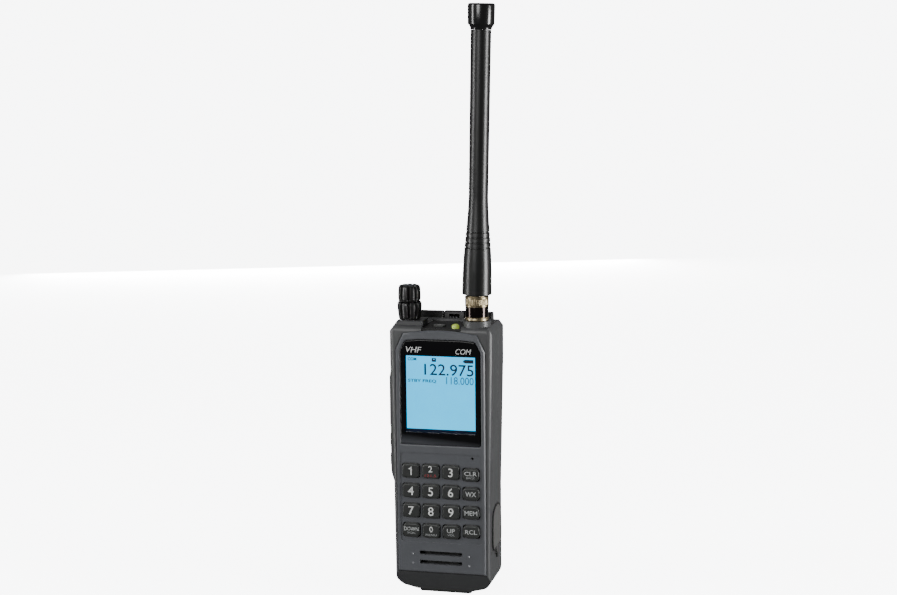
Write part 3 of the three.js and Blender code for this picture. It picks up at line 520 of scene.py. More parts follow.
@dataclass(frozen=True)
class StudioPaper(Finish):
    """Matt background paper that glows evenly, so that it stays pale."""

    color: Color = srgb(236, 237, 238)
    glow: float = 9.0
    fibre: float = 3.0

    def paint(self, graph: Graph) -> None:
        """Builds the faint fibres of the paper."""
        fibre = graph.noise(self.fibre, 4.0)
        tone = graph.mix(fibre, scaled(self.color, 0.995), self.color)
        graph.vary(Base_Color=tone, Emission_Color=tone, Roughness=fibre * 0.1 + 0.85)
        graph.constant(Emission_Strength=self.glow, Specular_IOR_Level=0.0)


@dataclass(frozen=True)
class CircuitBoard(Finish):
    """Green solder mask over copper tracks, with tinned pads."""

    mask: Color = srgb(24, 86, 52)
    track: Color = srgb(46, 122, 78)
    pad: Color = srgb(190, 180, 150)
    tracks: float = 0.9
    pad_pitch: float = 2.2
    pad_rows: float = 0.4

    def paint(self, graph: Graph) -> None:
        """Builds the tracks and the pads."""
        x, z = graph.axis("X"), graph.axis("Z")
        bend = graph.noise(8.0, 1.0) * 6
        tracks = (x * self.tracks + bend).fract().below(0.35) * graph.noise(5.0, 1.0).above(0.5)
        pads = graph.cells(self.pad_pitch).below(0.18) * (z * self.pad_rows).fract().above(0.3)
        base = graph.mix(tracks, self.mask, self.track)
        graph.vary(Base_Color=graph.mix(pads, base, self.pad), Metallic=pads, Roughness=0.42 - pads * 0.12)
        graph.relief(tracks + pads, 0.05)


@dataclass(frozen=True)
class CellJacket(Finish):
    """A cell's printed jacket: black, with a copper band at the top end of each cell."""

    black: Color = srgb(26, 26, 28)
    copper: Color = srgb(184, 116, 62)
    start: float = 10.0
    pitch: float = 52.9
    band: float = 0.3

    def paint(self, graph: Graph) -> None:
        """Builds the band along the height and the shrink wrinkles."""
        share = ((graph.axis("Z") - self.start) * (1 / self.pitch)).fract()
        band = share.above(1 - self.band)
        wrinkle = graph.noise(0.8, 3.0, (1.0, 1.0, 0.1))
        graph.vary(
            Base_Color=graph.mix(band, self.black, self.copper),
            Metallic=band * 0.8,
            Roughness=wrinkle * 0.15 + 0.22,
        )
        graph.relief(wrinkle, 0.02)


CASE = MouldedPlastic("case_plastic", srgb(63, 64, 65), 0.44)
PANEL = MouldedPlastic("panel_plastic", srgb(79, 81, 85), 0.4, grain=0.22, depth=0.008)
BLACK_PLASTIC = MouldedPlastic(
    "black_plastic", srgb(11, 11, 12), 0.5, grain=0.24, depth=0.01, specular=0.4
)
KNOB_PLASTIC = MouldedPlastic("knob_plastic", srgb(18, 18, 18), 0.34, grain=0.5, depth=0.001)
# Lighter than the panel: this tone is a painted highlight on the small buttons beside the speaker slots,
# which are also glossier.
DIMPLE_HIGHLIGHT_PLASTIC = MouldedPlastic("dimple_plastic", srgb(120, 122, 126), 0.22, depth=0.001)
KEY_RUBBER = SoftRubber("key_rubber", srgb(38, 40, 39), 0.42, bloom=0.06)
SIDE_RUBBER = SoftRubber("side_rubber", srgb(30, 30, 30), 0.66)
FLAP_RUBBER = SoftRubber("flap_rubber", srgb(74, 74, 73), 0.4, bloom=0.1)
# Near-black rubber of the bead round the jack flap: painted shade for the dark gap at the flap's edge.
SHADE_BEAD_RUBBER = SoftRubber("seal_rubber", srgb(5, 5, 5), 0.7, bloom=0.02)
PAD_RUBBER = SoftRubber("pad_rubber", srgb(20, 20, 20), 0.7)
WHIP = WhipRubber("antenna_rubber")
TIP = BlackGloss("antenna_tip", srgb(10, 10, 10), 0.2, 0.2, 0.45)
NICKEL = TurnedMetal("nickel", srgb(136, 125, 100), srgb(70, 60, 42), 0.36)
DARK_NICKEL = TurnedMetal("dark_nickel", srgb(54, 48, 46), srgb(30, 24, 24), 0.14)
BRASS = TurnedMetal("brass", srgb(200, 164, 98))
PIN_STEEL = TurnedMetal("pin_steel", srgb(40, 40, 42), srgb(22, 22, 22), 0.34, along=Axis.X)
TIN = SheetMetal("sheet_steel")
LENS_BORDER = PrintedBorder("lens_border")
GLASS = WindowGlass("lens_glass")
SCREEN = LitScreen("screen")
SCREEN_RIM = BlackGloss("screen_rim", srgb(10, 22, 44), 0.2, 0.1)
SEGMENT = Ink("segment_ink", srgb(10, 34, 66), 0.4)
PALE_SEGMENT = Ink("pale_segment_ink", srgb(36, 92, 134), 0.4, glow=0.25)
WHITE_INK = Ink("white_ink", srgb(214, 216, 214))
PALE_INK = Ink("pale_ink", srgb(176, 179, 178))
GREY_INK = Ink("grey_ink", srgb(138, 141, 141))
RED_INK = Ink("red_ink", srgb(140, 44, 48))
LIGHT = LightPipe("light_plastic")
BOARD = CircuitBoard("circuit_board")
CELL = CellJacket("cell_jacket")
PAPER = StudioPaper("studio_paper")


# ---- Modelling ------------------------------------------------------------------------------------------


@dataclass(frozen=True)
class Span:
    """The space between two corners, in millimetres."""

    low: Vector
    high: Vector

    @classmethod
    def of(cls, node: str) -> "Span":
        """The space that a CAD node takes."""
        low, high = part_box(node)
        return cls(low / MM, high / MM)

    @property
    def middle(self) -> Vector:
        """The centre."""
        return (self.low + self.high) / 2

    @property
    def size(self) -> Vector:
        """The length along each axis."""
        return self.high - self.low


EdgeTest = Callable[[bmesh.types.BMEdge], bool]


def along(axis: Axis) -> EdgeTest:
    """A test for the edges that run along an axis."""
    return lambda edge: abs((edge.verts[1].co - edge.verts[0].co).normalized()[axis.value]) > 0.999


def at(axis: Axis, value: float) -> EdgeTest:
    """A test for the edges that lie at one value of an axis."""
    return lambda edge: all(abs(vert.co[axis.value] - value) < 0.01 for vert in edge.verts)


def sharper(degrees: float) -> EdgeTest:
    """A test for the edges where two faces meet at more than an angle."""
    limit = math.radians(degrees)
    return lambda edge: len(edge.link_faces) == 2 and edge.calc_face_angle(0) > limit


class Shape:
    """A mesh being modelled in millimetres, in the radio's own frame."""

    def __init__(self) -> None:
        """Starts empty."""
        self.bm = bmesh.new()

    @classmethod
    def copy_of(cls, node: str) -> "Shape":
        """A copy of a CAD node, with its triangles joined into whole faces."""
        made = cls()
        made.bm.from_mesh(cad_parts[node].data)
        bmesh.ops.scale(made.bm, vec=Vector((1, 1, 1)) / MM, verts=made.bm.verts)
        bmesh.ops.remove_doubles(made.bm, verts=made.bm.verts, dist=0.002)
        bmesh.ops.dissolve_limit(
            made.bm, angle_limit=math.radians(1.0), verts=made.bm.verts, edges=made.bm.edges
        )
        return made

    @classmethod
    def block(cls, low: Iterable[float], high: Iterable[float]) -> "Shape":
        """A block between two corners."""
        made = cls()
        low, high = Vector(low), Vector(high)
        bmesh.ops.create_cube(made.bm, size=1.0)
        bmesh.ops.scale(made.bm, vec=high - low, verts=made.bm.verts)
        bmesh.ops.translate(made.bm, vec=(low + high) / 2, verts=made.bm.verts)
        return made

    @classmethod
    def spun(cls, profile: list[tuple[float, float]], steps: int = ROUND_STEPS) -> "Shape":
        """A profile spun about the Z axis.

        Args:
            profile: Points of radius and height, from one end of the outline to the other.
            steps: How many sides it gets.

        Returns:
            The closed shape.
        """
        made = cls()
        verts = [made.bm.verts.new((radius, 0.0, height)) for radius, height in profile]
        edges = [made.bm.edges.new(pair) for pair in zip(verts, verts[1:]) if pair[0] != pair[1]]
        bmesh.ops.spin(
            made.bm, geom=verts + edges, axis=(0, 0, 1), cent=(0, 0, 0), angle=2 * math.pi, steps=steps,
            use_merge=True,
        )
        bmesh.ops.remove_doubles(made.bm, verts=made.bm.verts, dist=0.0005)
        bmesh.ops.recalc_face_normals(made.bm, faces=made.bm.faces)
        return made

    @classmethod
    def lettering(
        cls,
        text: str,
        height: float,
        thick: float = 0.06,
        bold: float = 0.0,
        slant: float = 0.0,
        width: float = 0.0,
    ) -> "Shape":
        """Raised letters that face the front, centred on the origin.

        Args:
            text: The words.
            height: The height of the tallest letter in millimetres.
            thick: How far the letters stand out.
            bold: How much wider each stroke is, as a share of the letter size.
            slant: How far the letters lean.
            width: How wide the words are in all, or nothing for their own width.

        Returns:
            The letters, with their backs on Y = 0.
        """
        curve = bpy.data.curves.new("lettering", "FONT")
        curve.body = text
        curve.offset = bold
        curve.shear = slant
        curve.resolution_u = 4
        written = bpy.data.objects.new("lettering", curve)
        bpy.context.scene.collection.objects.link(written)
        bpy.context.view_layer.update()
        mesh = bpy.data.meshes.new_from_object(written.evaluated_get(bpy.context.evaluated_depsgraph_get()))
        made = cls()
        made.bm.from_mesh(mesh)
        bpy.data.objects.remove(written)
        bpy.data.curves.remove(curve)
        bpy.data.meshes.remove(mesh)
        bmesh.ops.remove_doubles(made.bm, verts=made.bm.verts, dist=0.0001)
        span = made.span()
        bmesh.ops.translate(made.bm, vec=-span.middle, verts=made.bm.verts)
        factor = height / span.size.y
        bmesh.ops.scale(
            made.bm, vec=(width / span.size.x if width else factor, factor, 1), verts=made.bm.verts
        )
        bmesh.ops.rotate(made.bm, matrix=Matrix.Rotation(math.pi / 2, 3, "X"), verts=made.bm.verts)
        front = bmesh.ops.extrude_face_region(made.bm, geom=list(made.bm.faces))
        raised = [item for item in front["geom"] if isinstance(item, bmesh.types.BMVert)]
        bmesh.ops.translate(made.bm, vec=(0, -thick, 0), verts=raised)
        bmesh.ops.recalc_face_normals(made.bm, faces=made.bm.faces)
        return made

    def span(self) -> Span:
        """The space that the shape takes."""
        low = Vector([min(vert.co[i] for vert in self.bm.verts) for i in range(3)])
        high = Vector([max(vert.co[i] for vert in self.bm.verts) for i in range(3)])
        return Span(low, high)

    def bevel(self, width: float, segments: int, test: EdgeTest) -> "Shape":
        """Rounds the edges that pass a test.

        Args:
            width: The width of the rounding in millimetres.
            segments: How many faces it has.
            test: Whether an edge is rounded.

        Returns:
            The shape.
        """
        edges = [edge for edge in self.bm.edges if test(edge)]
        bmesh.ops.bevel(
            self.bm, geom=edges, offset=width, offset_type="OFFSET", segments=segments, profile=0.5,
            affect="EDGES", clamp_overlap=True, material=-1,
        )
        return self

    def move(self, x: float = 0.0, y: float = 0.0, z: float = 0.0) -> "Shape":
        """Shifts the shape."""
        bmesh.ops.translate(self.bm, vec=(x, y, z), verts=self.bm.verts)
        return self

    def turn(self, degrees: float, axis: Axis) -> "Shape":
        """Turns the shape about the origin."""
        matrix = Matrix.Rotation(math.radians(degrees), 3, axis.name)
        bmesh.ops.rotate(self.bm, cent=(0, 0, 0), matrix=matrix, verts=self.bm.verts)
        return self

    def stretch(self, x: float = 1.0, y: float = 1.0, z: float = 1.0) -> "Shape":
        """Scales the shape about the origin."""
        bmesh.ops.scale(self.bm, vec=(x, y, z), verts=self.bm.verts)
        return self

    def pierce(self, low: tuple[float, float], high: tuple[float, float]) -> "Shape":
        """Cuts a rectangular hole right through the shape along Y.

        Args:
            low: The hole's lowest X and Z.
            high: Its highest X and Z.

        Returns:
            The shape.
        """
        for axis, value in ((Axis.X, low[0]), (Axis.X, high[0]), (Axis.Z, low[1]), (Axis.Z, high[1])):
            normal = Vector([float(axis.value == i) for i in range(3)])
            bmesh.ops.bisect_plane(
                self.bm, geom=[*self.bm.verts, *self.bm.edges, *self.bm.faces], dist=0.0001,
                plane_co=normal * value, plane_no=normal,
            )
        inside = [
            face for face in self.bm.faces
            if low[0] < face.calc_center_median().x < high[0]
            and low[1] < face.calc_center_median().z < high[1]
        ]
        bmesh.ops.delete(self.bm, geom=inside, context="FACES_ONLY")
        bmesh.ops.bridge_loops(self.bm, edges=[edge for edge in self.bm.edges if edge.is_boundary])
        bmesh.ops.recalc_face_normals(self.bm, faces=self.bm.faces)
        return self

    def hollow(self, rim: float, depth: float) -> "Shape":
        """Sinks the outer face at the high end of X inside a rim.

        Args:
            rim: The width of the rim that is left.
            depth: How far the face sinks.

        Returns:
            The shape.
        """
        high = self.span().high.x
        outer = [face for face in self.bm.faces if all(vert.co.x > high - 0.01 for vert in face.verts)]
        bmesh.ops.inset_region(self.bm, faces=outer, thickness=rim, use_even_offset=True)
        sunk = {vert for face in outer for vert in face.verts}
        bmesh.ops.translate(self.bm, vec=(-depth, 0, 0), verts=list(sunk))
        return self

    def groove(
        self, count: int, depth: float, half: float, inner: float, foot: float, head: float
    ) -> "Shape":
        """Presses evenly spaced grooves into the outside of a spun shape.

        Args:
            count: How many grooves there are.
            depth: How deep they are.
            half: Half of a groove's width, as a share of the distance from one to the next.
            inner: The radius inside which nothing moves.
            foot: The height at which they start.
            head: The height at which they end, where they also cut down into the rim.

        Returns:
            The shape.
        """
        for vert in self.bm.verts:
            radius = math.hypot(vert.co.x, vert.co.y)
            if radius < inner or not foot < vert.co.z <= head + 0.001:
                continue
            phase = math.atan2(vert.co.y, vert.co.x) / (2 * math.pi) * count
            off = abs(phase - round(phase))
            share = max(0.0, 1 - (off / half) ** 3)
            rounding = 0.35 * depth * max(0.0, 1 - (off / 0.5)) ** 2
            reach = (radius - inner) / max(depth, 0.001)
            sunk = min(depth * share + rounding, (radius - inner) * 0.9)
            vert.co.z -= 0.45 * depth * share * max(0.0, 1 - (head - vert.co.z) / depth) * min(1.0, reach)
            vert.co.x *= (radius - sunk) / radius
            vert.co.y *= (radius - sunk) / radius
        return self

    def add(self, other: "Shape") -> "Shape":
        """Takes in another shape as a separate solid of the same piece.

        Args:
            other: The shape that is taken in, and then freed.

        Returns:
            The shape.
        """
        mesh = bpy.data.meshes.new("joined")
        other.bm.to_mesh(mesh)
        self.bm.from_mesh(mesh)
        bpy.data.meshes.remove(mesh)
        other.bm.free()
        return self

    def piece(
        self,
        name: str,
        finish: Finish,
        body: str,
        slot: str,
        replaces: Iterable[str] = (),
        sharp: float = 38.0,
        weighted: bool = False,
    ) -> bpy.types.Object:
        """Finishes the shape as a piece of the radio.

        Args:
            name: The piece's name.
            finish: How its surface looks.
            body: The body that it moves with.
            slot: A material slot of the record; not used.
            replaces: The CAD nodes that it stands for.
            sharp: The angle in degrees past which an edge isn't smoothed.
            weighted: Whether large flat faces keep the shading flat.

        Returns:
            The object.
        """
        bmesh.ops.scale(self.bm, vec=Vector((MM, MM, MM)), verts=self.bm.verts)
        mesh = bpy.data.meshes.new(name)
        self.bm.to_mesh(mesh)
        self.bm.free()
        mesh.polygons.foreach_set("use_smooth", [True] * len(mesh.polygons))
        mesh.set_sharp_from_angle(angle=math.radians(sharp))
        mesh.materials.append(finish.material())
        made = bpy.data.objects.new(name, mesh)
        bpy.context.scene.collection.objects.link(made)
        if weighted:
            made.modifiers.new("weighted_normals", "WEIGHTED_NORMAL").keep_sharp = True
        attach(made, body)
        if replaces:
            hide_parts(*replaces)
        LOG.info("%s: %d faces on %s", name, len(mesh.polygons), body)
        return made


def refined(
    node: str, finish: Finish, body: str, slot: str, edge: float = 0.25, segments: int = 2
) -> bpy.types.Object:
    """A CAD node with its sharp edges rounded.

    Args:
        node: The CAD node that it stands for.
        finish: How its surface looks.
        body: The body that it moves with.
        slot: The record's material slot; not used.
        edge: The width of the rounding in millimetres.
        segments: How many faces the rounding has.

    Returns:
        The object.
    """
    shape = Shape.copy_of(node).bevel(edge, segments, sharper(SHARP_EDGE))
    return shape.piece(f"{node}_skin", finish, body, slot, [node], weighted=True)


def rounded_slab(low: Iterable[float], high: Iterable[float], corner: float, rim: float = 0.0) -> Shape:
    """A slab with round corners seen from the front, and a rounded rim on its front face.

    Args:
        low: Its lowest corner.
        high: Its highest corner.
        corner: The radius of its four corners.
        rim: The rounding of its front rim.

    Returns:
        The slab.
    """
    low, high = Vector(low), Vector(high)
    shape = Shape.block(low, high).bevel(corner, 8, along(Axis.Y))
    if rim:
        shape.bevel(rim, 4, at(Axis.Y, low.y))
    return shape


def dress(node: str, finish: Finish) -> None:
    """Gives a carried-over CAD node its finish."""
    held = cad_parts[node]
    held.data.materials.clear()
    held.data.materials.append(finish.material())
    LOG.info("%s: CAD node in %s", node, finish.name)


# ---- The radio's sub-assemblies -------------------------------------------------------------------------


class Assembly:
    """A group of pieces that belong together."""

    def build(self) -> None:
        """Makes the pieces."""
        raise NotImplementedError


@dataclass
class Housing(Assembly):
    """The front and rear case halves, the dark tray in the top, the pad under the foot and small fixings."""

    edge: float = 0.3
    tray_edge: float = 0.2
    pad_edge: float = 0.4
    screw_radius: float = 1.9
    screw_side: float = 20.4
    screw_row: float = 120.2
    screw_sunk: float = 0.05
    button_radius: float = 0.75
    button_sides: tuple[float, float] = (-18.2, 17.2)
    button_rows: tuple[float, float] = (26.4, 20.5)
    button_sunk: float = 0.02

    def build(self) -> None:
        """Makes the case, the tray, the pad, the buttons beside the speaker slots and the screws."""
        refined("front_case", CASE, "radio", "case_plastic", self.edge, 3)
        refined("rear_case", CASE, "radio", "case_plastic", self.edge, 3)
        refined("top_insert", BLACK_PLASTIC, "radio", "black_plastic", self.tray_edge)
        refined("base_pad", PAD_RUBBER, "radio", "side_rubber", self.pad_edge, 3)
        self.buttons()
        self.screws()

    def buttons(self) -> None:
        """Makes the small moulded buttons beside the two speaker slots, lighter than the panel as a painted
        highlight.
        """
        face, radius, made = Span.of("front_bezel").low.y, self.button_radius, Shape()
        for x in self.button_sides:
            for z in self.button_rows:
                button = Shape.spun([(0, 0), (radius, 0), (radius * 0.75, 0.26), (0, 0.36)], 20)
                made.add(button.turn(90, Axis.X).move(x, face + self.button_sunk, z))
        # The buttons' light tone is a painted highlight.
        made.piece("speaker_dimples", DIMPLE_HIGHLIGHT_PLASTIC, "radio", "panel_plastic")

    def screws(self) -> None:
        """Makes the two screws between the battery and the belt clip's bracket, each with a flat dark hexagon
        on its head as painted shade for its socket.
        """
        back, heads, sockets = Span.of("rear_case").high.y - self.screw_sunk, Shape(), Shape()
        radius = self.screw_radius
        head = [(0, 0), (radius, 0), (radius, 0.25), (radius - 0.3, 0.45), (0, 0.45)]
        # A flat dark hexagon lying on the head: painted shade where a hex socket's hollow would be.
        socket = [(0, 0.44), (radius * 0.48, 0.44), (radius * 0.48, 0.46), (0, 0.46)]
        for x in (-self.screw_side, self.screw_side):
            heads.add(Shape.spun(head, 40).turn(-90, Axis.X).move(x, back, self.screw_row))
            sockets.add(Shape.spun(socket, 6).turn(-90, Axis.X).move(x, back, self.screw_row))
        heads.piece("back_screws", PIN_STEEL, "radio", "sheet_steel")
        sockets.piece("back_screw_sockets", PAD_RUBBER, "radio", "side_rubber")


@dataclass
class FrontPanel(Assembly):
    """The front bezel that holds the lens, the keys and the speaker slots."""

    edge: float = 0.3
    lip: float = 0.8
    lens_gap: float = 0.5

    def build(self) -> None:
        """Makes the bezel, with a wide rounded lip round the lens."""
        lens, on_the_face = Span.of("display_lens"), at(Axis.Y, Span.of("front_bezel").low.y)
        low, high = lens.low - Vector([self.lens_gap] * 3), lens.high + Vector([self.lens_gap] * 3)

        def round_the_lens(edge: bmesh.types.BMEdge) -> bool:
            """Whether an edge of the front face runs along the lens's opening."""
            return on_the_face(edge) and all(
                low.x < vert.co.x < high.x and low.z < vert.co.z < high.z for vert in edge.verts
            )

        shape = Shape.copy_of("front_bezel").bevel(self.lip, 5, round_the_lens)
        shape.bevel(self.edge, 3, sharper(SHARP_EDGE))
        shape.piece("front_bezel_skin", PANEL, "radio", "panel_plastic", ["front_bezel"], weighted=True)


@dataclass
class ScreenWord:
    """One line of figures or words on the screen, placed from the lit area's top left corner."""

    text: str
    left: float
    top: float
    right: float
    bottom: float
    pale: bool = False
    bold: float = 0.0


@dataclass
class Title:
    """One word printed on the lens above the screen, by its sides and its lower and upper edges."""

    text: str
    left: float
    right: float
    low: float
    high: float


@dataclass
class Display(Assembly):
    """The lens with its printed border, the mask behind it and the lit panel with its figures."""

    lit_left: float = -21.5
    lit_right: float = 21.4
    lit_top: float = 150.1
    lit_bottom: float = 104.9
    window_side: float = 0.9
    window_foot: float = 2.2
    window_gap: float = 0.01
    lens_edge: float = 0.2
    glass: float = 0.5
    mask_half: float = 24.2
    mask_foot: float = 101.0
    mask_head: float = 152.5
    mask_gap: float = 0.03
    mask_thick: float = 0.12
    panel_corner: float = 0.4
    panel_rim: float = 0.15
    ink: float = 0.03
    title_ink: float = 0.02
    title_slant: float = 0.24
    words: list[ScreenWord] = field(default_factory=lambda: [
        ScreenWord("COM", 1.0, 1.1, 6.4, 3.0, bold=0.03),
        ScreenWord("122.975", 11.3, 4.7, 41.9, 11.7, bold=0.006),
        ScreenWord("STBY FREQ", 1.0, 14.4, 18.7, 16.6, bold=0.02),
        ScreenWord("118.000", 24.9, 12.4, 41.9, 17.0, pale=True),
    ])
    titles: list[Title] = field(default_factory=lambda: [
        Title("VHF", -21.0, -11.4, 152.4, 155.9),
        Title("COM", 9.8, 19.4, 152.1, 155.4),
    ])

    def build(self) -> None:
        """Makes the lens, the mask, the lit panel and everything that is shown on it."""
        self.border()
        self.window()
        self.mask()
        self.panel()
        for word in self.words:
            self.show(word)
        self.marks()
        for title in self.titles:
            self.print_title(title)

    def opening(self) -> tuple[tuple[float, float], tuple[float, float]]:
        """The low and high corners, in X and Z, of the clear window in the lens."""
        low = (self.lit_left - self.window_side, self.lit_bottom - self.window_foot)
        return low, (self.lit_right + self.window_side, self.lit_top + self.window_side)

    def border(self) -> None:
        """Makes the lens's black border."""
        lens = Shape.copy_of("display_lens").bevel(self.lens_edge, 2, sharper(SHARP_EDGE))
        lens.pierce(*self.opening())
        lens.piece("lens_border_print", LENS_BORDER, "radio", "lens", ["display_lens"], weighted=True)

    def window(self) -> None:
        """Makes the clear glass flush with the border."""
        face, gap = Span.of("display_lens").low.y, self.window_gap
        (left, foot), (right, head) = self.opening()
        glass = Shape.block((left + gap, face, foot + gap), (right - gap, face + self.glass, head - gap))
        glass.piece("lens_window", GLASS, "radio", "lens")

    def mask(self) -> None:
        """Makes the dark frame printed behind the lens, which shows as a rim round the lit area."""
        front = Span.of("display_lens").high.y + self.mask_gap
        low = (-self.mask_half, front, self.mask_foot)
        shape = Shape.block(low, (self.mask_half, front + self.mask_thick, self.mask_head))
        shape.pierce((self.lit_left, self.lit_bottom), (self.lit_right, self.lit_top))
        shape.piece("screen_mask", SCREEN_RIM, "radio", "lens")

    def panel(self) -> None:
        """Makes the lit panel."""
        span = Span.of("lcd_panel")
        shape = rounded_slab(span.low, span.high, self.panel_corner, self.panel_rim)
        shape.piece("lcd_glow_panel", SCREEN, "radio", "screen", ["lcd_panel"])

    def show(self, word: ScreenWord) -> None:
        """Makes one word or number on the screen.

        Args:
            word: What it says and where it stands.
        """
        high, width = word.bottom - word.top, word.right - word.left
        letters = Shape.lettering(word.text, high, self.ink, bold=word.bold, width=width)
        letters.move(
            self.lit_left + (word.left + word.right) / 2,
            Span.of("lcd_panel").low.y,
            self.lit_top - (word.top + word.bottom) / 2,
        )
        name = "screen_" + "".join(letter for letter in word.text if letter.isalnum()).lower()
        letters.piece(name, PALE_SEGMENT if word.pale else SEGMENT, "radio", "screen")

    def marks(self) -> None:
        """Makes the battery mark and the small square mark at the head of the screen."""
        face = Span.of("lcd_panel").low.y

        def mark(left: float, top: float, right: float, bottom: float, corner: float) -> Shape:
            """A flat mark, placed from the lit area's top left corner."""
            low = (self.lit_left + left, face - self.ink, self.lit_top - bottom)
            return rounded_slab(low, (self.lit_left + right, face, self.lit_top - top), corner)

        battery = mark(36.2, 1.5, 41.9, 3.7, 0.35).add(mark(35.5, 2.0, 36.25, 3.2, 0.2))
        battery.piece("screen_battery_mark", SEGMENT, "radio", "screen")
        memory = mark(16.0, 1.1, 18.7, 3.4, 0.3)
        memory.pierce((self.lit_left + 16.9, self.lit_top - 2.1), (self.lit_left + 17.8, self.lit_top - 1.6))
        memory.piece("screen_memory_mark", SEGMENT, "radio", "screen")

    def print_title(self, title: Title) -> None:
        """Prints one word on the lens.

        Args:
            title: What it says and where it stands.
        """
        high, width = title.high - title.low, title.right - title.left
        letters = Shape.lettering(title.text, high, self.title_ink, slant=self.title_slant, width=width)
        face = Span.of("display_lens").low.y
        letters.move((title.left + title.right) / 2, face, (title.low + title.high) / 2)
        letters.piece(f"lens_title_{title.text.lower()}", WHITE_INK, "radio", "lens")


class KeyStyle(Enum):
    """The two shapes of key: figures are nearly square, functions have rounder ends."""

    FIGURE = (2.3, 1.05)
    FUNCTION = (3.1, 1.0)


@dataclass
class Legend:
    """What is printed on one key."""

    text: str
    height: float
    lift: float = 0.0
    width: float = 0.0
    small: str = ""
    small_height: float = 1.3
    small_width: float = 0.0
    red: bool = False
    bold: float = 0.006


@dataclass
class Keypad(Assembly):
    """Sixteen rubber keys with white legends."""

    brim: float = 0.6
    brim_thick: float = 0.8
    ink: float = 0.03
    ink_sunk: float = 0.01
    small_bold: float = 0.01
    small_drop: float = 0.62
    small_gap: float = 0.1
    one_stem: float = 0.135
    one_flag: float = 0.26
    one_slope: float = -32.0
    legends: dict[str, Legend] = field(default_factory=lambda: {
        "key_1": Legend("1", 5.4),
        "key_2": Legend("2", 3.9, 1.7, small="121.5", small_height=1.7, small_width=7.2, red=True),
        "key_3": Legend("3", 5.4),
        "key_4": Legend("4", 5.4),
        "key_5": Legend("5", 5.4),
        "key_6": Legend("6", 5.4),
        "key_7": Legend("7", 5.4),
        "key_8": Legend("8", 5.4),
        "key_9": Legend("9", 5.4),
        "key_0": Legend("0", 3.5, 1.2, small="MENU", small_width=7.0),
        "key_clear": Legend("CLR", 2.6, 0.9, 7.8, small="BACK", small_width=5.4),
        "key_weather": Legend("WX", 3.0, width=6.6),
        "key_memory": Legend("MEM", 2.8, width=7.9),
        "key_recall": Legend("RCL", 2.7, width=7.4),
        "key_down": Legend("DOWN", 2.4, 0.9, 9.1, small="SQL", small_width=5.4),
        "key_up": Legend("UP", 2.6, 0.9, 5.0, small="VOL", small_width=4.6),
    })

    def build(self) -> None:
        """Makes every key with its legend, and dresses the membrane under them."""
        for node, legend in self.legends.items():
            self.key(node, KeyStyle.FIGURE if node[4:].isdigit() else KeyStyle.FUNCTION)
            self.print_on(node, legend)
        refined("keypad_membrane", SIDE_RUBBER, "radio", "key_rubber", edge=0.15, segments=1)

    def key(self, node: str, style: KeyStyle) -> None:
        """Makes one key: a rounded cap on a thin brim.

        Args:
            node: The CAD node, which is also the body.
            style: The cap's shape.
        """
        corner, rim = style.value
        span = Span.of(node)
        inset = Vector((self.brim, 0, self.brim))
        cap = rounded_slab(span.low + inset, span.high - inset, corner, rim)
        low = Vector((span.low.x, span.high.y - self.brim_thick, span.low.z))
        cap.add(rounded_slab(low, span.high, corner))
        cap.piece(f"{node}_cap", KEY_RUBBER, node, "key_rubber", [node], weighted=True)

    def figure_one(self, height: float) -> Shape:
        """The figure 1 with a flag, which the plain letters lack.

        Args:
            height: Its height in millimetres.

        Returns:
            The figure, centred on its stem's left side.
        """
        stem, half = height * self.one_stem, height / 2
        shape = Shape.block((0, -self.ink, -half), (stem, 0, half))
        flag = Shape.block((-height * self.one_flag, -self.ink, 0), (stem * 0.4, 0, stem * 0.9))
        return shape.add(flag.turn(self.one_slope, Axis.Y).move(stem * 0.4, 0, half - stem * 1.5))

    def print_on(self, node: str, legend: Legend) -> None:
        """Prints one key's legend.

        Args:
            node: The key.
            legend: What it says.
        """
        span = Span.of(node)
        middle, face = span.middle, span.low.y + self.ink_sunk
        if legend.text == "1":
            main = self.figure_one(legend.height)
        else:
            main = Shape.lettering(legend.text, legend.height, self.ink, legend.bold, width=legend.width)
        main.move(middle.x, face, middle.z + legend.lift)
        main.piece(f"{node}_legend", WHITE_INK if node[4:].isdigit() else PALE_INK, node, "key_rubber")
        if legend.small:
            small = Shape.lettering(
                legend.small, legend.small_height, self.ink, self.small_bold, width=legend.small_width
            )
            small.move(middle.x, face, middle.z - legend.height * self.small_drop - self.small_gap)
            small.piece(f"{node}_small", RED_INK if legend.red else GREY_INK, node, "key_rubber")


@dataclass
class SideButtons(Assembly):
    """The talk button and the two small keys under it, in the left side."""

    ridge: float = 0.3
    ridges: int = 6
    ridge_pitch: float = 3.0
    ridge_front: float = 2.9
    ridge_back: float = 2.6
    ridge_out: float = 0.22
    ridge_in: float = 0.5
    ridge_edge: float = 0.2

    def build(self) -> None:
        """Makes the three buttons, with finger ridges on the talk button."""
        refined("ptt_button", SIDE_RUBBER, "ptt_button", "side_rubber", edge=0.35, segments=3)
        for key in ("side_key_upper", "side_key_lower"):
            refined(key, SIDE_RUBBER, key, "side_rubber", edge=0.3, segments=3)
        span, grip = Span.of("ptt_button"), Shape()
        face, middle = span.low.x, span.middle
        for i in range(self.ridges):
            z = middle.z + (i - (self.ridges - 1) / 2) * self.ridge_pitch
            low = (face - self.ridge_out, middle.y - self.ridge_front, z - self.ridge)
            high = (face + self.ridge_in, middle.y + self.ridge_back, z + self.ridge)
            grip.add(Shape.block(low, high).bevel(self.ridge_edge, 3, along(Axis.Y)))
        grip.piece("talk_button_ridges", SIDE_RUBBER, "ptt_button", "side_rubber")


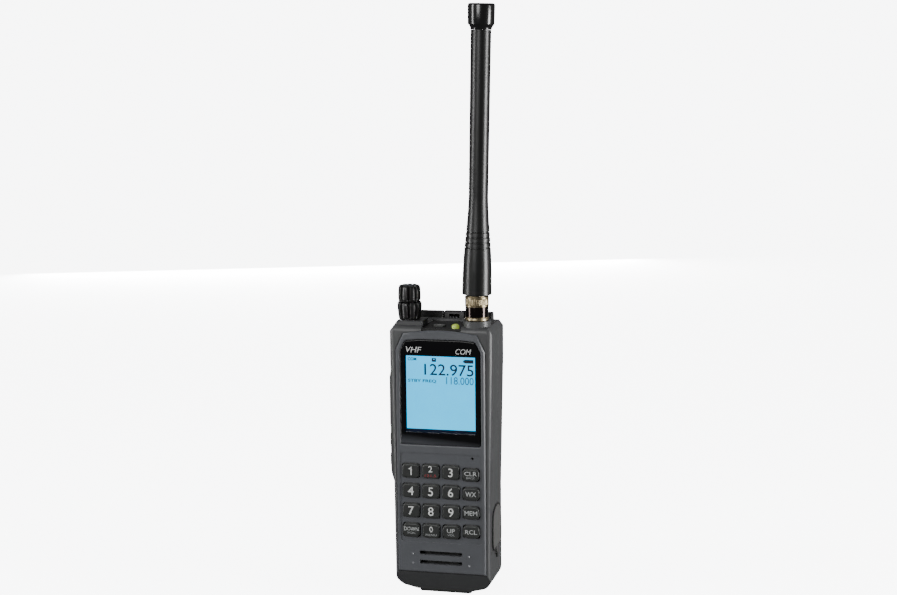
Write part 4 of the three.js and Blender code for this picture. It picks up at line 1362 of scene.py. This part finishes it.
@dataclass
class TopButtons(Assembly):
    """The small key in the tray and the light pipe beside it."""

    ring: float = 1.15
    stroke: float = 0.16
    stroke_start: float = 0.1
    stroke_reach: float = 0.3
    ink: float = 0.03
    dome: float = 1.3
    dome_step: float = 15.0

    def build(self) -> None:
        """Makes the key, its mark and the light pipe."""
        refined("top_key", KEY_RUBBER, "top_key", "key_rubber", edge=0.35, segments=3)
        span, inner, half = Span.of("top_key"), self.ring - self.stroke, self.stroke / 2
        ring = [(inner, 0), (self.ring, 0), (self.ring, self.ink), (inner, self.ink), (inner, 0)]
        mark = Shape.spun(ring, 32)
        mark.add(Shape.block((-half, self.stroke_start, 0), (half, self.ring + self.stroke_reach, self.ink)))
        mark.move(span.middle.x, span.middle.y, span.high.z)
        mark.piece("top_key_mark", WHITE_INK, "top_key", "key_rubber")
        self.light()

    def light(self) -> None:
        """Makes the domed light pipe."""
        span = Span.of("light_pipe")
        radius, low, high = span.size.x / 2, span.low.z, span.high.z
        turns = [math.radians(self.dome_step * step) for step in range(6)]
        dome = [(radius * math.cos(t), high - self.dome + self.dome * math.sin(t)) for t in turns]
        shape = Shape.spun([(0, low), (radius, low), *dome, (0, high)], 48)
        shape.move(span.middle.x, span.middle.y)
        shape.piece("light_pipe_dome", LIGHT, "radio", "light", ["light_pipe"])


@dataclass
class TopKnobs(Assembly):
    """Two stacked knobs on one double control: volume above, squelch below."""

    lobes: int = 9
    columns: int = 22
    groove: float = 1.25
    groove_half: float = 0.2
    groove_inner: float = 0.6
    groove_foot: float = 0.09

    def build(self) -> None:
        """Makes both knobs and dresses the control under them."""
        self.knob("volume_knob", "volume_control", [
            (0.0, 0.0), (0.93, 0.0), (0.95, 0.04), (0.985, 0.1), (1.0, 0.18), (0.998, 0.4), (0.985, 0.62),
            (0.965, 0.8), (0.94, 0.88), (0.9, 0.94), (0.83, 0.985), (0.74, 1.0), (0.62, 1.0), (0.56, 0.985),
            (0.5, 0.975), (0.0, 0.97),
        ])
        self.knob("squelch_knob", "squelch_control", [
            (0.0, 0.0), (0.84, 0.0), (0.88, 0.03), (0.905, 0.1), (0.935, 0.25), (0.965, 0.42), (0.992, 0.62),
            (1.0, 0.76), (0.995, 0.85), (0.975, 0.92), (0.93, 0.975), (0.86, 1.0), (0.7, 1.0), (0.0, 1.0),
        ])
        for shaft in ("volume_shaft", "squelch_shaft"):
            dress(shaft, BRASS)
        refined("control_unit", TIN, "radio", "sheet_steel", edge=0.2)

    def knob(self, node: str, body: str, profile: list[tuple[float, float]]) -> None:
        """Makes one lobed knob.

        Args:
            node: The CAD node that it stands for.
            body: The body that it turns with.
            profile: Shares of the radius and of the height, from the middle of the foot to the crown's.
        """
        span = Span.of(node)
        radius, low, tall = span.size.x / 2, span.low.z, span.size.z
        shape = Shape.spun(
            [(share * radius, low + height * tall) for share, height in profile], self.lobes * self.columns
        )
        inner, foot = radius * self.groove_inner, low + self.groove_foot * tall
        shape.groove(self.lobes, self.groove, self.groove_half, inner, foot, low + tall)
        shape.move(span.middle.x, span.middle.y)
        shape.piece(f"{node}_grip", KNOB_PLASTIC, body, "knob_plastic", [node], sharp=50)


@dataclass
class AntennaMount(Assembly):
    """The bayonet socket in the case, the nut on it and the plug in it."""

    grip_foot: float = 8.4
    ring_foot: float = 2.1
    wall: float = 1.35
    throat: float = 1.6
    throat_depth: float = 1.8
    groove: float = 0.28
    teeth: int = 40
    tooth: float = 0.12
    tooth_half: float = 0.34
    tooth_inner: float = 0.5
    tooth_foot: float = 1.25
    tooth_head: float = 1.35
    tooth_steps: int = 6

    def build(self) -> None:
        """Makes the socket, the nut's three parts and the plug."""
        refined("antenna_socket", NICKEL, "radio", "nickel", edge=0.12)
        refined("antenna_plug", NICKEL, "antenna", "nickel", edge=0.12)
        self.nut()

    def nut(self) -> None:
        """Makes the nut: bright foot ring, dark polished sleeve and ribbed bright grip."""
        span = Span.of("antenna_nut")
        rim, low, high = span.size.x / 2, span.low.z, span.high.z
        bore, neck = rim - self.wall, rim - self.groove
        step, split = low + self.ring_foot, low + self.grip_foot
        throat, floor = bore - self.throat, high - self.throat_depth
        foot = [
            (bore, low), (rim - 0.15, low), (rim, low + 0.15), (rim, step - 0.7), (rim - 0.12, step - 0.5),
            (rim, step - 0.35), (rim, step - 0.1), (rim - 0.1, step), (bore, step), (bore, low),
        ]
        sleeve = [
            (bore, step), (rim - 0.3, step), (rim - 0.25, step + 0.3), (rim - 0.25, split - 0.3),
            (rim - 0.3, split), (bore, split), (bore, step),
        ]
        grip = [
            (bore, split), (rim - 0.1, split), (rim, split + 0.1), (rim, split + 0.8), (neck, split + 0.95),
            (neck, split + 1.2), (rim - 0.05, split + 1.3), (rim - 0.05, high - 1.4), (neck, high - 1.25),
            (neck, high - 1.0), (rim, high - 0.85), (rim, high - 0.1), (rim - 0.1, high), (throat, high),
            (throat, floor), (bore, floor), (bore, split),
        ]
        for name, profile, finish in (
            ("nut_foot_ring", foot, NICKEL), ("nut_sleeve", sleeve, DARK_NICKEL), ("nut_grip", grip, NICKEL)
        ):
            shape, gripped = Shape.spun(profile, self.teeth * self.tooth_steps), name == "nut_grip"
            if gripped:
                shape.groove(
                    self.teeth, self.tooth, self.tooth_half, bore + self.tooth_inner,
                    split + self.tooth_foot, high - self.tooth_head,
                )
            shape.move(span.middle.x, span.middle.y)
            shape.piece(name, finish, "antenna_nut", "nickel", ["antenna_nut"] if gripped else ())


@dataclass
class Whip(Assembly):
    """The rubber whip: a wide foot, a ringed taper, a long stem and a hard cap."""

    lean: float = 1.35
    pivot: float = 187.7
    foot_radius: float = 8.95
    top_radius: float = 8.75
    neck_radius: float = 5.9
    tip_radius: float = 6.1
    foot_length: float = 14.5
    neck_start: float = 58.0
    length: float = 157.4
    sag: float = 0.06
    first_ring: float = 28.6
    ring_pitch: float = 3.1
    rings: int = 4
    ring_depth: float = 0.45
    foot_stops: tuple[float, ...] = (2.0, 8.0, 13.2, 14.5, 15.8, 20.0, 24.0, 27.2)
    stem_stops: tuple[float, ...] = (41.5, 45, 49, 53, 56.5, 58, 60, 80, 110, 140)
    cap_gap: float = 0.1
    cap_head: float = 15.5

    def build(self) -> None:
        """Makes the sheath, the cap and the wire inside."""
        socket = Span.of("antenna_nut").middle
        self.axis = (socket.x, socket.y)
        self.sheath()
        self.cap()
        dress("antenna_core", BRASS)

    def taper(self, height: float) -> float:
        """The radius of the sheath.

        Args:
            height: The height above its pivot.

        Returns:
            The radius there.
        """
        if height <= self.foot_length:
            return self.foot_radius + (self.top_radius - self.foot_radius) * height / self.foot_length
        if height >= self.neck_start:
            share = (height - self.neck_start) / (self.length - self.neck_start)
            return self.neck_radius + (self.tip_radius - self.neck_radius) * share
        share = (height - self.foot_length) / (self.neck_start - self.foot_length)
        sagged = share - self.sag * math.sin(2 * math.pi * share)
        return self.top_radius + (self.neck_radius - self.top_radius) * sagged

    def lean_over(self, shape: Shape) -> Shape:
        """Sets a shape that was made about the pivot on the leaning line of the whip."""
        x, y = self.axis
        return shape.turn(self.lean, Axis.Y).move(x, y, self.pivot)

    def sheath(self) -> None:
        """Makes the sheath with its moulded rings."""
        foot = self.foot_radius
        profile = [(0.0, 0.4), (foot - 2.2, 0.4), (foot - 1.2, 0.0), (foot - 0.25, 0.0), (foot, 0.25)]
        profile += [(self.taper(height), height) for height in self.foot_stops]
        for i in range(self.rings):
            z = self.first_ring + i * self.ring_pitch
            for rise, depth in ((-0.55, 0.0), (-0.3, 1.0), (0.2, 1.0), (0.45, 0.0)):
                profile.append((self.taper(z + rise) - depth * self.ring_depth, z + rise))
        profile += [(self.taper(height), height) for height in (*self.stem_stops, self.length)]
        sheath = self.lean_over(Shape.spun([*profile, (0.0, self.length)]))
        sheath.piece("whip_sheath", WHIP, "antenna", "antenna_rubber", ["antenna_sheath"], sharp=30)

    def cap(self) -> None:
        """Makes the hard cap on the tip."""
        low, high = self.length + self.cap_gap, self.length + self.cap_head
        cap = self.lean_over(Shape.spun([
            (0.0, low), (6.2, low), (6.35, low + 0.15), (6.5, low + 0.9), (7.1, low + 2.0), (7.75, low + 2.9),
            (7.92, low + 3.5), (8.02, low + 8), (8.1, high - 1.6), (8.02, high - 0.9), (7.75, high - 0.4),
            (7.3, high - 0.12), (6.6, high), (0.0, high),
        ]))
        cap.piece("whip_cap", TIP, "antenna", "antenna_tip", ["antenna_cap"], sharp=30)


@dataclass
class JackPanel(Assembly):
    """The rubber flap in the right side and the two headset jacks behind it."""

    # The lip and bead values size the near-black bead round the flap, which is painted shade.
    lip: float = 0.55
    bead: float = 0.3
    bead_width: float = 0.9
    bead_edge: float = 0.2
    bead_angle: float = 60.0
    edge: float = 0.45
    ridge: float = 0.25
    ridges: int = 3
    ridge_pitch: float = 1.3
    ridge_foot: float = 25.6
    ridge_half: float = 0.9
    ridge_growth: float = 0.35
    ridge_sunk: float = 0.2
    ridge_edge: float = 0.15

    def build(self) -> None:
        """Makes the flap with its near-black lip, which is painted shade for the gap round it, and its finger
        ridges, and dresses the jacks.
        """
        refined("jack_cover", FLAP_RUBBER, "jack_cover", "flap_rubber", self.edge, 3)
        self.flap_shade_bead()
        self.flap_ridges()
        refined("headphone_jack", BLACK_PLASTIC, "radio", "socket_plastic", edge=0.2)
        refined("microphone_jack", BLACK_PLASTIC, "radio", "socket_plastic", edge=0.2)

    def flap_shade_bead(self) -> None:
        """Makes the near-black bead round the flap: a dark part set where the flap's edge would only be in
        shade, painted shade.
        """
        span = Span.of("jack_cover")
        lip = Shape.copy_of("jack_cover").move(-span.high.x, -span.middle.y, -span.middle.z)
        lip.stretch(1.0, 1 + 2 * self.lip / span.size.y, 1 + 2 * self.lip / span.size.z)
        lip.hollow(self.bead_width, 2 * self.bead).bevel(self.bead_edge, 2, sharper(self.bead_angle))
        lip.move(span.high.x + self.bead, span.middle.y, span.middle.z)
        lip.piece("jack_flap_lip", SHADE_BEAD_RUBBER, "jack_cover", "flap_rubber")

    def flap_ridges(self) -> None:
        """Makes the finger ridges at the foot of the flap."""
        face, grip = Span.of("jack_cover").high.x, Shape()
        middle = (Span.of("headphone_jack").middle.y + Span.of("microphone_jack").middle.y) / 2
        for i in range(self.ridges):
            z, half = self.ridge_foot + i * self.ridge_pitch, self.ridge_half + self.ridge_growth * i
            low = (face - self.ridge_sunk, middle - half, z - self.ridge)
            bar = Shape.block(low, (face + self.ridge, middle + half, z + self.ridge))
            grip.add(bar.bevel(self.ridge_edge, 2, along(Axis.Y)))
        grip.piece("jack_flap_ridges", FLAP_RUBBER, "jack_cover", "flap_rubber")


@dataclass
class BatteryPack(Assembly):
    """The battery case with its cells, and the catch that holds it."""

    cells: int = 6

    def build(self) -> None:
        """Makes the case and the catch, and dresses the cells."""
        refined("battery_case", CASE, "battery", "case_plastic", edge=0.35, segments=3)
        refined("battery_latch", BLACK_PLASTIC, "battery_latch", "black_plastic", edge=0.25)
        for i in range(self.cells):
            refined(f"cell_{i + 1}", CELL, "battery", "cell_jacket", edge=0.3, segments=2)


@dataclass
class BeltClip(Assembly):
    """The bracket on the back, the sprung clip in it, its pin and its spring."""

    def build(self) -> None:
        """Makes the bracket and the clip, and dresses the pin and the spring."""
        refined("clip_bracket", BLACK_PLASTIC, "radio", "black_plastic", edge=0.3, segments=3)
        refined("belt_clip", BLACK_PLASTIC, "belt_clip", "black_plastic", edge=0.3, segments=3)
        refined("clip_pin", PIN_STEEL, "radio", "sheet_steel", edge=0.2)
        refined("clip_spring", PIN_STEEL, "radio", "sheet_steel", edge=0.1)


@dataclass
class Electronics(Assembly):
    """The board and what is fixed to it, inside the case."""

    def build(self) -> None:
        """Refines the pieces inside the case."""
        refined("main_board", BOARD, "radio", "circuit_board", edge=0.1, segments=1)
        refined("rf_shield", TIN, "radio", "sheet_steel", edge=0.3)
        refined("speaker", BLACK_PLASTIC, "radio", "sheet_steel", edge=0.3)
        refined("microphone", TIN, "radio", "sheet_steel", edge=0.15)


# ---- Studio ---------------------------------------------------------------------------------------------


@dataclass
class Lamp:
    """One soft rectangular lamp, with its place and its target in metres."""

    name: str
    place: tuple[float, float, float]
    target: tuple[float, float, float]
    width: float
    height: float
    power: float


@dataclass
class Studio:
    """A pale sweep of paper, soft lamps and the camera."""

    lens: float = 70.14
    place: tuple[float, float, float] = (0.24953, -1.02368, 0.34897)
    yaw: float = 13.63
    pitch: float = 8.92
    roll: float = -0.57
    sensor: float = 36.0
    near: float = 0.02
    far: float = 20.0
    world: float = 0.14
    paper_bend: float = 900.0
    paper_reach: float = 2600.0
    paper_height: float = 3600.0
    lamps: list[Lamp] = field(default_factory=lambda: [
        Lamp("front_lamp", (-0.38, -1.6, 0.7), (0, 0, 0.08), 0.7, 0.7, 16),
        Lamp("left_strip", (-0.75, -0.35, 0.25), (0, 0, 0.1), 0.12, 0.9, 7),
        Lamp("right_strip", (0.8, -0.06, 0.12), (0, 0, 0.06), 0.18, 0.5, 12.5),
        Lamp("top_lamp", (0.0, 0.25, 1.0), (0, 0, 0.17), 0.6, 0.35, 1.2),
        Lamp("back_lamp", (-0.5, 1.4, 0.09), (0, 0, 0.09), 0.9, 0.16, 15),
    ])

    def build(self) -> None:
        """Makes the sweep, the lamps, the world and the camera."""
        self.sweep()
        for lamp in self.lamps:
            self.hang(lamp)
        self.sky()
        self.stand()

    def sweep(self) -> None:
        """Makes the pale floor, which curves up into a round wall far outside the lamps."""
        bend, reach = self.paper_bend, self.paper_reach
        turns = [math.radians(7.5 * i) for i in range(13)]
        curve = [(reach - bend + bend * math.sin(a), bend - bend * math.cos(a)) for a in turns]
        paper = Shape.spun([(0.0, 0.0), *curve, (reach, self.paper_height)])
        bmesh.ops.reverse_faces(paper.bm, faces=paper.bm.faces)
        bmesh.ops.scale(paper.bm, vec=(MM, MM, MM), verts=paper.bm.verts)
        mesh = bpy.data.meshes.new("paper_sweep")
        paper.bm.to_mesh(mesh)
        paper.bm.free()
        mesh.polygons.foreach_set("use_smooth", [True] * len(mesh.polygons))
        mesh.materials.append(PAPER.material())
        floor = bpy.data.objects.new("paper_sweep", mesh)
        bpy.context.scene.collection.objects.link(floor)
        floor.visible_diffuse = floor.visible_glossy = False

    def hang(self, lamp: Lamp) -> None:
        """Hangs one lamp.

        Args:
            lamp: Its place, size and power.
        """
        data = bpy.data.lights.new(lamp.name, "AREA")
        data.shape, data.size, data.size_y, data.energy = "RECTANGLE", lamp.width, lamp.height, lamp.power
        made = bpy.data.objects.new(lamp.name, data)
        made.location = lamp.place
        made.rotation_euler = (Vector(lamp.target) - Vector(lamp.place)).to_track_quat("-Z", "Y").to_euler()
        made.visible_camera = False
        bpy.context.scene.collection.objects.link(made)

    def sky(self) -> None:
        """Fills the room with even pale light."""
        world = bpy.data.worlds.new("room")
        world.use_nodes = True
        world.node_tree.nodes["Background"].inputs["Color"].default_value = (1, 1, 1, 1)
        world.node_tree.nodes["Background"].inputs["Strength"].default_value = self.world
        bpy.context.scene.world = world

    def stand(self) -> None:
        """Stands the camera."""
        yaw, pitch, roll = (math.radians(angle) for angle in (self.yaw, self.pitch, self.roll))
        forward = Vector((
            -math.sin(yaw) * math.cos(pitch), math.cos(yaw) * math.cos(pitch), -math.sin(pitch)
        ))
        right = Vector((math.cos(yaw), math.sin(yaw), 0.0))
        up = right.cross(forward)
        across = right * math.cos(roll) + up * math.sin(roll)
        over = up * math.cos(roll) - right * math.sin(roll)
        data = bpy.data.cameras.new("camera")
        data.lens, data.sensor_width = self.lens, self.sensor
        data.clip_start, data.clip_end = self.near, self.far
        camera = bpy.data.objects.new("camera", data)
        turned = Matrix((across, over, -forward)).transposed().to_4x4()
        camera.matrix_world = Matrix.Translation(self.place) @ turned
        bpy.context.scene.collection.objects.link(camera)
        bpy.context.scene.camera = camera


def main() -> None:
    """Builds the radio and its studio."""
    logging.basicConfig(level=logging.INFO, format="%(name)s %(message)s")
    for assembly in (
        Housing(), FrontPanel(), Display(), Keypad(), SideButtons(), TopButtons(), TopKnobs(),
        AntennaMount(), Whip(), JackPanel(), BatteryPack(), BeltClip(), Electronics(),
    ):
        LOG.info("building %s", type(assembly).__name__)
        assembly.build()
    Studio().build()
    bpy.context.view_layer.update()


if __name__ == "__main__":
    main()
